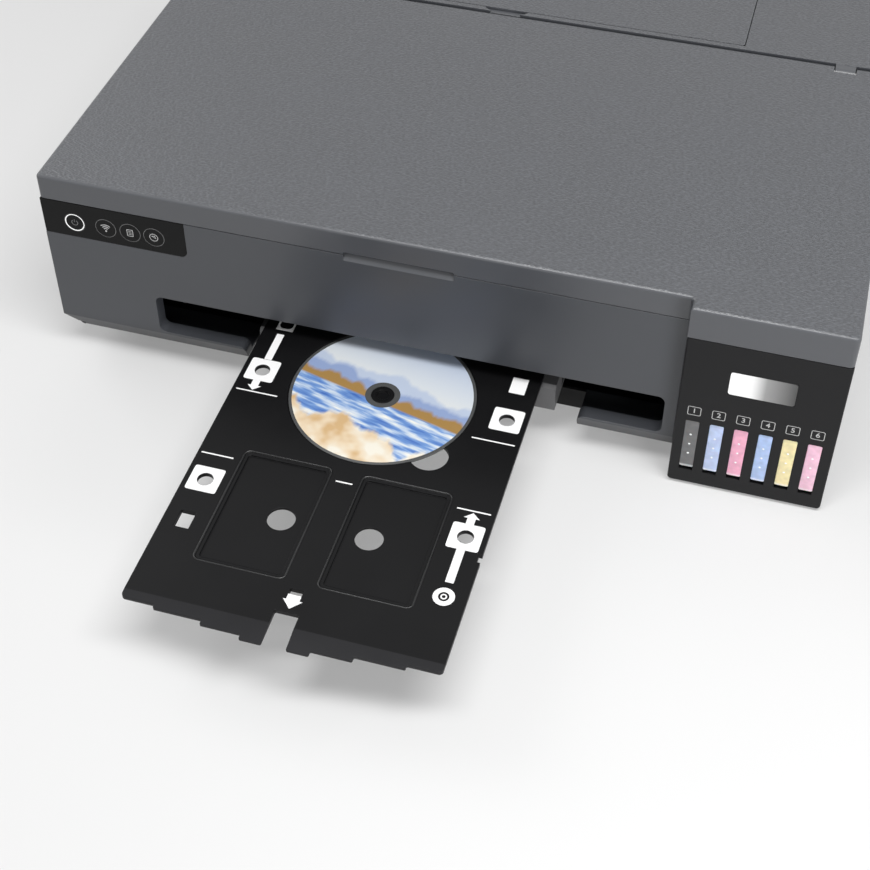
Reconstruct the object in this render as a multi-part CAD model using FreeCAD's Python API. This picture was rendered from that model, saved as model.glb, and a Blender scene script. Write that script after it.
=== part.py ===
import FreeCAD, Part
import math
import os

# A3+ inkjet photo printer with a disc and card tray, six refillable ink tanks and a rear sheet feeder.
#
# Millimetres, +Z up. The front faces -Y and +X is to the right of someone who stands before it. While the
# pieces are drawn, X = 0 is the body's left side, Y = 0 the front panel's face and Z = 0 the table. Each
# piece is moved to the model's own frame when it is written: origin on the table, below the middle of the
# box that holds the printer with its disc tray out.

Vector = FreeCAD.Vector

# ---------------------------------------------------------------- driving dimensions

# Outer body
overall_width = 523.0
overall_height = 149.0
body_depth = 369.0
tank_unit_width = 98.0
tank_unit_proud = 10.2
rear_deck_depth = 98.6
front_apron = 17.7
tank_apron = 22.5
wall = 2.5
top_corner = 3.0
top_edge = 2.1

# Clearances
seam = 0.6
running = 0.05
slide_gap = 0.3

# Underside
panel_bottom = 20.7
side_taper = 12.0
side_taper_rise = 9.1
rear_taper = 12.0
bevel = 3.4
flange = 31.0
case_inset = 2.1
case_floor = 4.0
tank_case_bottom = 2.0
foot_radius = 9.0

# Sheet and disc path
sheet_width = 329.0
feed_centre = 241.95
path_height = 47.0
frame_margin = 13.5
frame_sheet = 2.0
shaft_end = 1.8

# Front slot
slot_width = 344.4
slot_offset = 2.55
slot_below_path = 15.5
slot_above_path = 15.9
slot_corner = 5.0
mouth_depth = 10.0
mouth_wall = 2.0
left_lip_end = 108.0
right_lip_start = 120.0

# Finger scoop
scoop_width = 72.0
scoop_depth = 4.6
scoop_slope = 4.2
scoop_notch = 1.7
scoop_corner = 1.5
scoop_shift = -1.5

# Control panel
panel_width = 100.3
panel_drop = 28.3
panel_corner = 5.0
panel_thickness = 2.0
panel_backing = 2.6
panel_play = 0.2
button_drop = 16.1
button_radius = 6.9
button_places = {"power_button": 22.6, "wireless_button": 44.5, "sheet_button": 61.6, "stop_button": 78.2}
power_button_radius = 6.0
light_ring_radius = 7.5
button_length = 7.5
button_collar = 1.2

# Disc tray
tray_width = 189.4
tray_thickness = 3.0
tray_front = 221.8
tray_back = 84.0
tray_lip_drop = 2.0
tray_steps = ((94.7, 5.5), (74.3, 8.0), (44.8, 11.1), (20.5, 14.2))
tray_notch_width = 14.6
tray_notch_depth = 9.3
sensor_hole_radius = 4.9
sensor_hole_x = 81.6
sensor_hole_y = (0.0, -98.3)
disc_y = -34.0
disc_radius = 60.0
disc_thickness = 1.2
disc_hole_radius = 7.5
disc_gap = 0.5
disc_recess_depth = 1.5
hub_dimple_radius = 4.2
disc_finger_radius = 12.2
disc_finger_place = (43.0, -42.3)
card_width = 54.6
card_length = 86.7
card_border = 2.0
card_border_depth = 0.4
card_depth = 1.1
card_spacing = 76.0
card_y = -147.0
card_finger_radius = 8.6
card_finger_places = ((-27.15, -1.1), (27.45, -1.1))

# Output tray
output_width = 203.0
output_floor = 26.0
output_sheet = 2.0
output_front_y = 6.0
output_front_depth = 20.0
output_front_wall = 3.0
output_lengths = {"rear": 163.0, "middle": 125.0, "front": 122.0}
channel_step = 4.0
channel_wall = 1.2
channel_lip = 2.0

# Carriage and its drive
carriage_width = 66.0
carriage_y = (92.0, 160.0)
carriage_over_path = 7.0
carriage_tall = 64.0
carriage_shell = 3.0
shaft_y = 174.0
shaft_rise = 41.0
shaft_radius = 4.0
bearing_half = 9.0
rail_y = 200.0
rail_sheet = 2.0
rail_rise = (6.0, 70.0)
rail_inset = 8.0
belt_y = 190.0
belt_width = 6.0
belt_thickness = 1.2
pulley_radius = 7.0
pulley_rise = 46.0
strip_rise = (58.0, 66.0)
motor_radius = 15.0
motor_length = 32.0
motor_shaft = 1.5
motor_hub = 3.0

# Rollers
output_roller_y = 70.0
feed_roller_y = 182.0
roller_radius = 6.0
roller_shaft = 4.0
idler_wheel_radius = 4.0
idler_shaft = 1.5
roller_pulley_radius = 12.0
feed_motor_y = 126.0
feed_motor_z = 22.0
feed_motor_pulley_radius = 6.0

# Rear feeder
hopper_length = 98.0
hopper_angle = math.radians(40.9)
hopper_sheet = 2.0
hopper_top_inset = 33.0
hopper_top_drop = 25.0
hopper_margin = 5.0
pivot_radius = 2.5
guide_paper = 105.0
guide_height = 10.0
guide_foot = 14.0
guide_sheet = 2.5
pickup_radius = 14.0
pickup_width = 40.0
pickup_along = 25.0
pickup_gap = 8.0
chute_sheet = 2.0
support_depth = 77.0
support_thickness = 3.4
support_margin = 9.6
support_back = 16.0
trunnion_radius = 1.2

# Lid hinges
pin_radius = 2.0
pin_half = 16.0
hinge_radius = 4.5
hinge_ear = 14.0
hinge_inset = 36.0

# Ink tanks and their tubes
tank_count = 6
tank_pitch = 15.1
tank_first = 11.05
tank_gap = 0.8
tank_wall = 1.6
tank_bottom = 15.0
tank_headroom = 22.5
tank_back = 85.0
window_width = 8.7
window_bottom = 13.7
window_top = 57.7
neck_y = 22.0
neck_inset = 1.95
neck_height = 4.0
cap_inset = 0.75
cap_height = 4.5
cap_hinge_reach = 11.0
cap_hinge_rise = 5.5
tube_radius = 1.6
tube_pitch = 3.7
tube_bend = 6.0
tube_straight = 15.0
tube_run = 165.0
tube_turn = 10.0
deck_drop = 35.0
deck_sheet = 2.0
plate_recess = 0.6
plate_offset = (28.9, 69.2)
plate_z = (87.0, 105.3)

# Rear sockets and screws
inlet_from_frame = 38.0
inlet_z = 40.0
inlet_half = (10.0, 6.0)
inlet_lobe = (4.3, 3.9)
socket_from_frame = (42.0, 29.0)
socket_z = (34.0, 45.0)
screw_radius = 1.5
screw_head_radius = 3.2
screw_head = 1.6
screw_length = 13.0
screw_inset = (30.0, 33.0)
screw_low_z = 60.0
screw_high_drop = 19.3
drive_half = (1.6, 0.35)
drive_depth = 0.8

# ---------------------------------------------------------------- derived places

body_width = overall_width - tank_unit_width
panel_top = overall_height - front_apron
tank_case_top = overall_height - tank_apron
lid_back = body_depth - rear_deck_depth
tank_front_y = -tank_unit_proud
tank_case_back = carriage_y[0] - 1.5
frame_origin = Vector(overall_width / 2, (body_depth - tray_front - tray_steps[-1][1]) / 2, 0)

slot_centre = feed_centre + slot_offset
slot_bottom = path_height - slot_below_path
slot_top = path_height + slot_above_path
button_z = panel_top - button_drop
path_bottom = path_height - slide_gap
path_top = path_height + tray_thickness
roller_z = path_bottom - roller_radius
idler_z = path_top + slide_gap + idler_wheel_radius

left_frame_x = feed_centre - sheet_width / 2 - frame_margin
right_frame_x = feed_centre + sheet_width / 2 + frame_margin
inside_frames = (left_frame_x + frame_sheet / 2 + slide_gap, right_frame_x - frame_sheet / 2 - slide_gap)
pulley_x = (left_frame_x - 13.0, left_frame_x - 5.0)
rail_x = (rail_inset, overall_width - rail_inset)
drive_x = rail_x[0] + 18.0
idler_x = rail_x[1] - 13.5
carriage_rest_x = body_width + 11.0
carriage_z = (path_height + carriage_over_path, path_height + carriage_over_path + carriage_tall)
shaft_z = carriage_z[0] + shaft_rise
pulley_z = carriage_z[0] + pulley_rise
rail_z = (carriage_z[0] + rail_rise[0], carriage_z[0] + rail_rise[1])
strip_z = (carriage_z[0] + strip_rise[0], carriage_z[0] + strip_rise[1])

hinge_places = (hinge_inset, overall_width - hinge_inset)
hinge_y = lid_back - hinge_radius
hinge_z = overall_height - hinge_radius
support_x = (feed_centre - sheet_width / 2 - support_margin, feed_centre + sheet_width / 2 + support_margin)
support_axis_y = body_depth - support_back
support_axis_z = overall_height - support_thickness / 2
support_front_y = support_axis_y - support_depth
rebate_bottom = overall_height - support_thickness - seam

tank_width = tank_pitch - tank_gap
neck_radius = tank_width / 2 - neck_inset
cap_radius = tank_width / 2 - cap_inset
tank_top = tank_case_top - tank_headroom
cap_hinge_y = neck_y + cap_hinge_reach
cap_hinge_z = tank_top + cap_hinge_rise
deck_top = overall_height - deck_drop
deck_back = carriage_y[0] - 4.0
tube_z = deck_top + tube_radius + 0.2
tube_turn_x = body_width - tube_run
tube_first_y = deck_back - tube_pitch * (tank_count - 1) - tube_straight

inlet_x = left_frame_x + inlet_from_frame
socket_x = (right_frame_x - socket_from_frame[0], right_frame_x - socket_from_frame[1])
screw_high_z = panel_top - screw_high_drop
rear_screw_places = [
    (screw_inset[0], screw_low_z), (screw_inset[0], screw_high_z), (overall_width / 2, screw_high_z),
    (overall_width - screw_inset[1], screw_low_z), (overall_width - screw_inset[1], screw_high_z),
]

AXES = {"x": Vector(1, 0, 0), "y": Vector(0, 1, 0), "z": Vector(0, 0, 1)}


# ---------------------------------------------------------------- drawing tools

def at(axis, along, a, b):
    """The point at a place along an axis, with its other two coordinates in X, Y, Z order."""
    return {"x": Vector(along, a, b), "y": Vector(a, along, b), "z": Vector(a, b, along)}[axis]


def block(x, y, z):
    """A box from three (low, high) pairs."""
    return Part.makeBox(x[1] - x[0], y[1] - y[0], z[1] - z[0], Vector(x[0], y[0], z[0]))


def rod(axis, radius, span, centre):
    """A round bar over a (low, high) span of an axis, with its centre's other two coordinates."""
    return Part.makeCylinder(radius, span[1] - span[0], at(axis, span[0], *centre), AXES[axis])


def prism(axis, points, span):
    """A straight bar along an axis, with the outline that the points give in the other two axes."""
    corners = [at(axis, span[0], a, b) for a, b in points]
    face = Part.Face(Part.makePolygon(corners + corners[:1]))
    return face.extrude(AXES[axis] * (span[1] - span[0]))


def join(shapes):
    """One solid from pieces that touch or overlap."""
    first, *rest = shapes
    return first.fuse(rest).removeSplitter() if rest else first


def rounded(shape, radius, axis, keep=lambda centre: True):
    """The shape with its straight edges along an axis rounded, where keep(edge centre) holds."""
    chosen = []
    for edge in shape.Edges:
        if edge.Curve.TypeId == "Part::GeomLine":
            along = edge.tangentAt(edge.FirstParameter).dot(AXES[axis])
            if abs(along) > 0.999 and keep(edge.CenterOfMass):
                chosen.append(edge)
    return shape.makeFillet(radius, chosen)


def slab(axis, x, y, z, radius):
    """A box with its four edges along an axis rounded."""
    return rounded(block(x, y, z), radius, axis)


def ring(axis, outer, inner, span, centre):
    """A tube."""
    return rod(axis, outer, span, centre).cut(rod(axis, inner, span, centre))


def wrap(axis, wheels, grow, span):
    """The bar that a tight band round some wheels encloses. Wheels are (a, b, radius), in order round it."""
    shapes = [rod(axis, radius + grow, span, (a, b)) for a, b, radius in wheels]
    pairs = list(zip(wheels, wheels[1:] + wheels[:1])) if len(wheels) > 2 else [tuple(wheels)]
    for (a1, b1, r1), (a2, b2, r2) in pairs:
        heading = math.atan2(b2 - b1, a2 - a1)
        spread = math.acos((r1 - r2) / math.hypot(a2 - a1, b2 - b1))
        outline = []
        for a, b, radius, side in ((a1, b1, r1, 1), (a2, b2, r2, 1), (a2, b2, r2, -1), (a1, b1, r1, -1)):
            turn = heading + side * spread
            outline.append((a + (radius + grow) * math.cos(turn), b + (radius + grow) * math.sin(turn)))
        shapes.append(prism(axis, outline, span))
    if len(wheels) > 2:
        shapes.append(prism(axis, [(a, b) for a, b, radius in wheels], span))
    return join(shapes)


def belt(axis, wheels, span):
    """A flat belt round some wheels, just clear of them."""
    outer = wrap(axis, wheels, slide_gap + belt_thickness, span)
    return outer.cut(wrap(axis, wheels, slide_gap, span))


def write(name, shapes):
    """Writes one node, made of one shape or a list of separate solids, in the model's frame."""
    group = Part.makeCompound(shapes) if isinstance(shapes, list) else shapes
    placed = group.copy()
    placed.translate(-frame_origin)
    placed.exportStep(os.path.join("parts", name + ".step"))


# ---------------------------------------------------------------- outer covers

def bottom_case():
    """Floor pan that carries the frames, with low walls and the output tray's rails."""
    left = side_taper + case_inset
    right = overall_width - side_taper - case_inset
    back = body_depth - rear_taper - case_inset
    front = flange + wall + seam
    inner_right = body_width - slide_gap
    case_top = panel_bottom + wall
    outline = [
        (left, front), (inner_right, front), (inner_right, tank_case_back + seam),
        (right, tank_case_back + seam), (right, back), (left, back),
    ]
    inside = [
        (left + wall, front + wall), (inner_right - wall, front + wall),
        (inner_right - wall, tank_case_back + seam + wall), (right - wall, tank_case_back + seam + wall),
        (right - wall, back - wall), (left + wall, back - wall),
    ]
    pan = prism("z", outline, (case_floor, case_top))
    pan = pan.cut(prism("z", inside, (case_floor + wall, case_top + 1)))
    pan = pan.cut(block((left - 1, inner_right + 1), (0, front + wall), (panel_bottom - seam, case_top + 1)))
    floor = case_floor + wall
    rails = []
    for side in (-1, 1):
        middle = slot_centre + side * (output_width / 2 - 8.0)
        rail_z = (floor, output_floor - slide_gap)
        rails.append(block((middle - 1.5, middle + 1.5), (front, feed_roller_y), rail_z))
    return join([pan] + rails)


def feet():
    """Five rubber feet. The one below the tank unit is thinner, as its case reaches lower."""
    front_y = flange + wall + foot_radius + 4.0
    places = [
        (side_taper + 28.0, front_y), (side_taper + 28.0, body_depth - 44.0), (body_width - 30.0, front_y),
        (overall_width - side_taper - 31.0, body_depth - 44.0),
    ]
    pads = [rod("z", foot_radius, (0, case_floor), place) for place in places]
    pads.append(rod("z", foot_radius, (0, tank_case_bottom), (body_width + tank_unit_width / 2, 45.0)))
    return pads


def front_panel():
    """Front wall with the slot, its deep rounded mouth, two lips, the scoop and the panel's pocket."""
    width = (0, body_width - slide_gap)
    top = panel_top - seam
    profile = [
        (0, top), (wall, top), (wall, panel_bottom + side_taper_rise), (bevel + wall, panel_bottom + wall),
        (flange + wall, panel_bottom + wall), (flange + wall, panel_bottom), (bevel, panel_bottom),
        (0, panel_bottom + side_taper_rise),
    ]
    panel = prism("x", profile, width)
    room_z = (0, panel_bottom + side_taper_rise + 1)
    case_room = block((-1, side_taper + case_inset), (wall, flange + wall + 1), room_z)
    panel = panel.cut(case_room)
    panel = panel.cut(prism("y", lower_corner(), (-1, flange + wall + 1)))

    slot_x = (slot_centre - slot_width / 2, slot_centre + slot_width / 2)
    mouth_x = (slot_x[0] - mouth_wall, slot_x[1] + mouth_wall)
    slot_z = (slot_bottom, slot_top)
    mouth_z = (slot_bottom - mouth_wall, slot_top + mouth_wall)
    mouth = slab("y", mouth_x, (wall / 2, mouth_depth), mouth_z, slot_corner + mouth_wall)
    lips = block(mouth_x, (bevel, mouth_depth), (panel_bottom, slot_bottom + slot_corner))
    lips = rounded(lips, slot_corner + mouth_wall, "y", lambda c: c.z > slot_bottom)
    panel = join([panel, mouth, lips])
    panel = panel.cut(slab("y", slot_x, (-1, mouth_depth + 1), slot_z, slot_corner))
    gap_x = (feed_centre - left_lip_end, feed_centre + right_lip_start)
    panel = panel.cut(block(gap_x, (-1, flange + wall + 1), (0, slot_bottom + 1)))
    for edge_x, inward in ((gap_x[0], -1), (gap_x[1], 1)):
        centre_x = edge_x + inward * slot_corner
        corner = block(sorted((edge_x, centre_x)), (-1, mouth_depth + 1),
                       (slot_bottom - slot_corner, slot_bottom + 1))
        round_end = rod("y", slot_corner, (-2, mouth_depth + 2), (centre_x, slot_bottom - slot_corner))
        panel = panel.cut(corner.cut(round_end))

    scoop_x = scoop_span()
    backing_x = (scoop_x[0] - 4.0, scoop_x[1] + 4.0)
    backing_z = (top - scoop_depth - 5.0, top)
    panel = join([panel, block(backing_x, (wall, scoop_slope + wall), backing_z)])
    low = top - scoop_depth
    slope = [(-1, top + 1), (scoop_slope, top + 1), (scoop_slope, top), (0, low), (-1, low)]
    ends = slab("y", scoop_x, (-2, scoop_slope + 1), (low, top + scoop_depth), scoop_corner)
    panel = panel.cut(prism("x", slope, scoop_x).common(ends))

    pocket_z = (panel_top - panel_drop, top + 1)
    backing = block((wall + seam + panel_play, panel_width + panel_corner),
                    (wall / 2, panel_thickness + panel_backing), (pocket_z[0] - panel_corner, top))
    panel = join([panel, backing])
    pocket = block((-1, panel_width), (-1, panel_thickness + 0.05), pocket_z)
    pocket = rounded(pocket, panel_corner, "y", lambda c: c.x > 0 and c.z < button_z)
    panel = panel.cut(pocket)
    for name, x in button_places.items():
        hole = light_ring_radius if name == "power_button" else button_radius
        panel = panel.cut(rod("y", hole + slide_gap, (-1, 10), (x, button_z)))
    return panel


def scoop_span():
    """The finger scoop's left and right ends."""
    centre = slot_centre + scoop_shift
    return (centre - scoop_width / 2, centre + scoop_width / 2)


def side_profile(top):
    """Outline of a side wall whose lower edge tapers in, drawn at the left side, up to a height."""
    step = side_taper + 1.7
    inner_rise = panel_bottom + side_taper_rise + 1.6
    return [
        (0, top), (0, panel_bottom + side_taper_rise), (side_taper, panel_bottom), (step, panel_bottom),
        (step, panel_bottom + wall), (side_taper + 0.6, panel_bottom + wall), (wall, inner_rise), (wall, top),
    ]


def lower_corner():
    """What the side walls' taper takes off the left lower corner of the front panel and the rear cover."""
    corner_top = panel_bottom + side_taper_rise + seam
    return [(-1, -1), (-1, corner_top), (side_taper, panel_bottom), (side_taper, -1)]


def left_cover():
    """Left side wall. Its lower edge tapers in to the bottom case."""
    return prism("y", side_profile(panel_top - seam), (wall + seam, body_depth - wall - seam))


def right_cover():
    """Right side wall behind the tank unit, the left one's mirror image with a lower top edge."""
    mirrored = [(overall_width - x, z) for x, z in reversed(side_profile(tank_case_top - seam))]
    return prism("y", mirrored, (tank_case_back + seam, body_depth - wall - seam))


def rear_cover():
    """Rear wall with its tapered foot, air slots, holes for the sockets and bosses for the screws."""
    back = body_depth
    profile = [
        (back, panel_top - seam), (back, panel_bottom + side_taper_rise), (back - rear_taper, panel_bottom),
        (back - rear_taper - 1.7, panel_bottom), (back - rear_taper - 1.7, panel_bottom + wall),
        (back - rear_taper - 0.6, panel_bottom + wall), (back - wall, panel_bottom + side_taper_rise + 1.6),
        (back - wall, panel_top - seam),
    ]
    cover = prism("x", profile, (0, overall_width))
    reach = side_taper + case_inset
    for side_x in ((-1, reach), (overall_width - reach, overall_width + 1)):
        cover = cover.cut(block(side_x, (0, back - wall), (0, overall_height)))
    corner_right = [(overall_width - x, z) for x, z in reversed(lower_corner())]
    for corner in (lower_corner(), corner_right):
        cover = cover.cut(prism("y", corner, (0, back + 1)))
    through = (back - rear_taper - 5, back + 1)
    hole = (inlet_half[0] + slide_gap, inlet_half[1] + slide_gap)
    inlet_hole = (inlet_x - hole[0], inlet_x + hole[0]), through, (inlet_z - hole[1], inlet_z + hole[1])
    cover = cover.cut(block(*inlet_hole))
    cover = cover.cut(block((socket_x[0] - slide_gap, socket_x[1] + slide_gap), through,
                            (socket_z[0] - 0.8, socket_z[1] + 0.4)))
    for step in range(12):
        slot_x = feed_centre - 62.0 + 14.0 * step
        cover = cover.cut(slab("y", (slot_x, slot_x + 9.0), through, (70.0, 73.5), 1.6))
    boss_y = (back - screw_length - 2.0, back - wall / 2)
    bosses = [rod("y", screw_head_radius + 1.3, boss_y, place) for place in rear_screw_places]
    cover = join([cover] + bosses)
    for place in rear_screw_places:
        cover = cover.cut(rod("y", screw_head_radius + 0.2, (back - screw_head, back + 1), place))
        cover = cover.cut(rod("y", screw_radius + running, (back - screw_length - 5.0, back), place))
    return cover


def screws():
    """Five round-headed screws in the rear cover."""
    made = []
    for place in rear_screw_places:
        head = rod("y", screw_head_radius, (body_depth - screw_head, body_depth), place)
        thread = rod("y", screw_radius, (body_depth - screw_length, body_depth - screw_head / 2), place)
        screw = join([head, thread])
        for a, b in (drive_half, drive_half[::-1]):
            groove = block((place[0] - a, place[0] + a), (body_depth - drive_depth, body_depth + 1),
                           (place[1] - b, place[1] + b))
            screw = screw.cut(groove)
        made.append(screw)
    return made


# ---------------------------------------------------------------- top

def pin_bore(x):
    """Room for one hinge pin's end, centred at x."""
    return rod("x", pin_radius + running, (x - pin_half - 0.5, x + pin_half + 0.5), (hinge_y, hinge_z))


def lid():
    """One cover over the whole top. Its rear edge is a round barrel that turns on two pins."""
    outline = [
        (0, 0), (body_width, 0), (body_width, tank_front_y), (overall_width, tank_front_y),
        (overall_width, hinge_y), (0, hinge_y),
    ]
    shell = prism("z", outline, (tank_case_top, overall_height))
    shell = rounded(shell, top_corner, "z", lambda c: c.y < hinge_y / 2 and abs(c.x - body_width) > 1)
    shell = rounded(shell, 2.2, "z", lambda c: abs(c.x - body_width) < 1 and c.y > tank_front_y + 1)
    top_edges = [
        e for e in shell.Edges
        if abs(e.CenterOfMass.z - overall_height) < 0.01 and e.BoundBox.YMin < hinge_y - 1
    ]
    shell = shell.makeFillet(top_edge, top_edges)
    inside = [
        (wall, wall), (body_width + wall, wall), (body_width + wall, tank_front_y + wall),
        (overall_width - wall, tank_front_y + wall), (overall_width - wall, hinge_y + 1), (wall, hinge_y + 1),
    ]
    shell = shell.cut(prism("z", inside, (tank_case_top - 1, overall_height - wall)))
    shell = shell.cut(block((-1, body_width), (-1, lid_back), (0, panel_top)))
    notch_z = (panel_top - scoop_depth, panel_top + scoop_notch)
    shell = shell.cut(slab("y", scoop_span(), (-1, wall + 1), notch_z, scoop_corner))
    barrel = rod("x", hinge_radius, (0, overall_width), (hinge_y, hinge_z))
    rib_z = (overall_height - wall - 5.0, overall_height - wall / 2)
    rib_places = [body_width * share / 4 for share in (1, 2, 3)]
    ribs = [block((x, x + 1.6), (wall, hinge_y), rib_z) for x in rib_places]
    shell = join([shell, barrel] + ribs)
    half = hinge_ear / 2 + seam
    for x in hinge_places:
        notch = block((x - half, x + half), (hinge_y - hinge_radius - 1, lid_back + 1),
                      (hinge_z - hinge_radius - 1, overall_height + 1))
        shell = shell.cut(notch)
        shell = shell.cut(pin_bore(x))
    return shell


def lid_hinge_pins():
    """Two steel pins, held in the rear deck's ears."""
    return [rod("x", pin_radius, (x - pin_half, x + pin_half), (hinge_y, hinge_z)) for x in hinge_places]


def rear_deck():
    """Fixed top behind the lid, with the sheet feeder's opening and the rebate that its flap closes."""
    front = lid_back + seam
    shell = block((0, overall_width), (front, body_depth), (tank_case_top, overall_height))
    shell = rounded(shell, top_corner, "z", lambda c: c.y > body_depth - 1)
    top_edges = [
        e for e in shell.Edges
        if abs(e.CenterOfMass.z - overall_height) < 0.01 and e.BoundBox.YMax > front + 1
    ]
    shell = shell.makeFillet(top_edge, top_edges)
    inside = (wall, overall_width - wall), (front - 1, body_depth - wall), (0, overall_height - wall)
    shell = shell.cut(block(*inside))
    shell = shell.cut(block((-1, overall_width - wall), (0, body_depth + 1), (0, panel_top)))
    shell = shell.cut(block((0, overall_width + 1), (body_depth - wall, body_depth + 1), (0, panel_top)))
    rim = block((support_x[0] - 4.5, support_x[1] + 4.5), (front + 1.0, body_depth - wall),
                (overall_height - support_thickness - 3.0, overall_height - wall / 2))
    shell = join([shell, rim])
    rebate_y = (support_front_y - seam, support_axis_y + support_thickness / 2 + 2.2)
    shell = shell.cut(block(support_x, rebate_y, (rebate_bottom, overall_height + 1)))
    feed_x = (support_x[0] + 8.0, support_x[1] - 8.0)
    feed_y = (support_front_y + 8.0, support_axis_y - 6.0)
    shell = shell.cut(block(feed_x, feed_y, (rebate_bottom - 10, overall_height + 1)))
    stub_x = (support_x[0] - 2.5, support_x[1] + 2.5)
    shell = shell.cut(rod("x", trunnion_radius + running, stub_x, (support_axis_y, support_axis_z)))
    thumb = rod("z", 22.0, (overall_height - 1.6, overall_height + 1), (feed_centre, support_front_y + 14.0))
    shell = shell.cut(thumb)
    for x in hinge_places:
        ear_x = (x - hinge_ear / 2, x + hinge_ear / 2)
        radius = hinge_radius - slide_gap
        ear = join([
            rod("x", radius, ear_x, (hinge_y, hinge_z)),
            block(ear_x, (hinge_y, front + 3.0), (hinge_z - radius, hinge_z + radius)),
        ])
        shell = join([shell, ear])
        shell = shell.cut(pin_bore(x))
    return shell


def paper_support():
    """Flap over the feed opening. Its rear edge is round, with a stub at each end that turns in the deck."""
    low, high = support_x[0] + seam, support_x[1] - seam
    flap_z = (overall_height - support_thickness, overall_height)
    flap = block((low, high), (support_front_y, support_axis_y), flap_z)
    flap = rounded(flap, 2.0, "z", lambda c: c.y < support_axis_y - 1)
    edge = rod("x", support_thickness / 2, (low, high), (support_axis_y, support_axis_z))
    stubs = rod("x", trunnion_radius, (low - 2.4, high + 2.4), (support_axis_y, support_axis_z))
    rib_y = (support_front_y + 10.0, support_axis_y - 12.0)
    rib_z = (overall_height - support_thickness - 2.4, overall_height - support_thickness / 2)
    rib_x = [low + 12.0 + (high - low - 25.0) * step / 6 for step in range(7)]
    ribs = [block((x, x + 1.4), rib_y, rib_z) for x in rib_x]
    return join([flap, edge, stubs] + ribs)


def tank_x(number):
    """Middle of one ink tank, counted from 0."""
    return body_width + tank_first + tank_pitch * number


def front_deck():
    """Inner cover before the carriage, which the ink tubes lie on. Its two legs stand on the bottom case."""
    left = side_taper + case_inset + 0.1
    right = body_width - slide_gap
    front = flange + wall + 0.5
    foot = panel_bottom + wall + slide_gap
    top = block((left, right), (front, deck_back), (deck_top - deck_sheet, deck_top))
    legs = [block((x, x + 2.4), (front, deck_back), (foot, deck_top)) for x in (left, right - 2.4)]
    lip = block((left, right), (front, front + deck_sheet), (deck_top - 8.0, deck_top))
    clamp = block((tube_end(0) - 6.0, tube_end(tank_count - 1) + 6.0), (deck_back - 4.0, deck_back),
                  (deck_top - 1.0, deck_top + 8.0))
    for number in range(tank_count):
        hole = rod("y", tube_radius + running, (deck_back - 5.0, deck_back + 1.0), (tube_end(number), tube_z))
        clamp = clamp.cut(hole)
    return join([top, lip] + legs + [clamp])


# ---------------------------------------------------------------- tank unit

def turn_radius(number):
    """Radius of one ink tube's turn before its clamp. The last tube turns tightest."""
    return tube_turn + tube_pitch * (tank_count - 1 - number)


def tube_end(number):
    """X of one ink tube at its clamp."""
    return tube_turn_x - turn_radius(number)


def ink_tubes():
    """Six tubes: up from the tanks, left along the deck, then round to the clamp before the carriage."""
    made = []
    half = math.sqrt(0.5)
    bend = tube_bend
    for number in range(tank_count):
        x = tank_x(number)
        y = tube_first_y + tube_pitch * number
        end_x = tube_end(number)
        radius = turn_radius(number)
        start = Vector(x, y, tank_top + slide_gap / 2)
        rise = Vector(x, y, tube_z - bend)
        level = Vector(x - bend, y, tube_z)
        turn = Vector(tube_turn_x, y, tube_z)
        back = Vector(end_x, y + radius, tube_z)
        end = Vector(end_x, deck_back, tube_z)
        first_mid = Vector(x - bend * (1 - half), y, tube_z - bend * (1 - half))
        second_mid = Vector(tube_turn_x - radius * half, y + radius * (1 - half), tube_z)
        edges = [
            Part.makeLine(start, rise), Part.Arc(rise, first_mid, level).toShape(),
            Part.makeLine(level, turn),
            Part.Arc(turn, second_mid, back).toShape(), Part.makeLine(back, end),
        ]
        profile = Part.Wire(Part.makeCircle(tube_radius, start, AXES["z"]))
        made.append(Part.Wire(edges).makePipeShell([profile], True, False))
    return made


def tank_case():
    """Near-black case of the tank unit: front, two sides, back and floor, with a window for each tank."""
    low_x = body_width + slide_gap
    case = block((low_x, overall_width), (tank_front_y, tank_case_back),
                 (tank_case_bottom, tank_case_top - seam))
    case = rounded(case, 2.6, "y", lambda c: c.z < tank_case_bottom + 1)
    case = rounded(case, 1.0, "z", lambda c: c.y < tank_front_y + 1)
    hollow = block((low_x + wall, overall_width - wall), (tank_front_y + wall, tank_case_back - wall),
                   (tank_case_bottom + wall, tank_case_top))
    case = case.cut(hollow)
    shelf_y = (tank_front_y + wall + 4.0, tank_back)
    shelf_z = (tank_bottom - 3.0, tank_bottom - slide_gap)
    shelf = block((low_x + wall / 2, overall_width - wall / 2), shelf_y, shelf_z)
    post_z = (tank_case_bottom + wall / 2, tank_bottom - 2.0)
    post_x = (body_width + tank_unit_width / 3, body_width + tank_unit_width * 2 / 3)
    case = join([case, shelf] + [block((x, x + 2.0), shelf_y, post_z) for x in post_x])
    window_y = (tank_front_y - 1, tank_front_y + wall + 0.5)
    for number in range(tank_count):
        window_x = (tank_x(number) - window_width / 2, tank_x(number) + window_width / 2)
        case = case.cut(slab("y", window_x, window_y, (window_bottom, window_top), 0.5))
    plate = plate_box(0.0)
    case = case.cut(block(plate[0], (tank_front_y - 1, tank_front_y + plate_recess), plate[1]))
    tubes = (tube_first_y - tube_radius - 1.0, deck_back)
    return case.cut(block((low_x - 1, low_x + wall + 1), tubes, (deck_top - 3.0, overall_height)))


def plate_box(inset):
    """The bright plate's place on the case's front, as X and Z pairs."""
    x = (body_width + plate_offset[0] + inset, body_width + plate_offset[1] - inset)
    return x, (plate_z[0] + inset, plate_z[1] - inset)


def badge():
    """Thin bright plate, glued into its recess. It is bare."""
    x, z = plate_box(0.1)
    y = (tank_front_y - 0.25, tank_front_y + plate_recess)
    return slab("y", x, y, z, 1.8)


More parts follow.
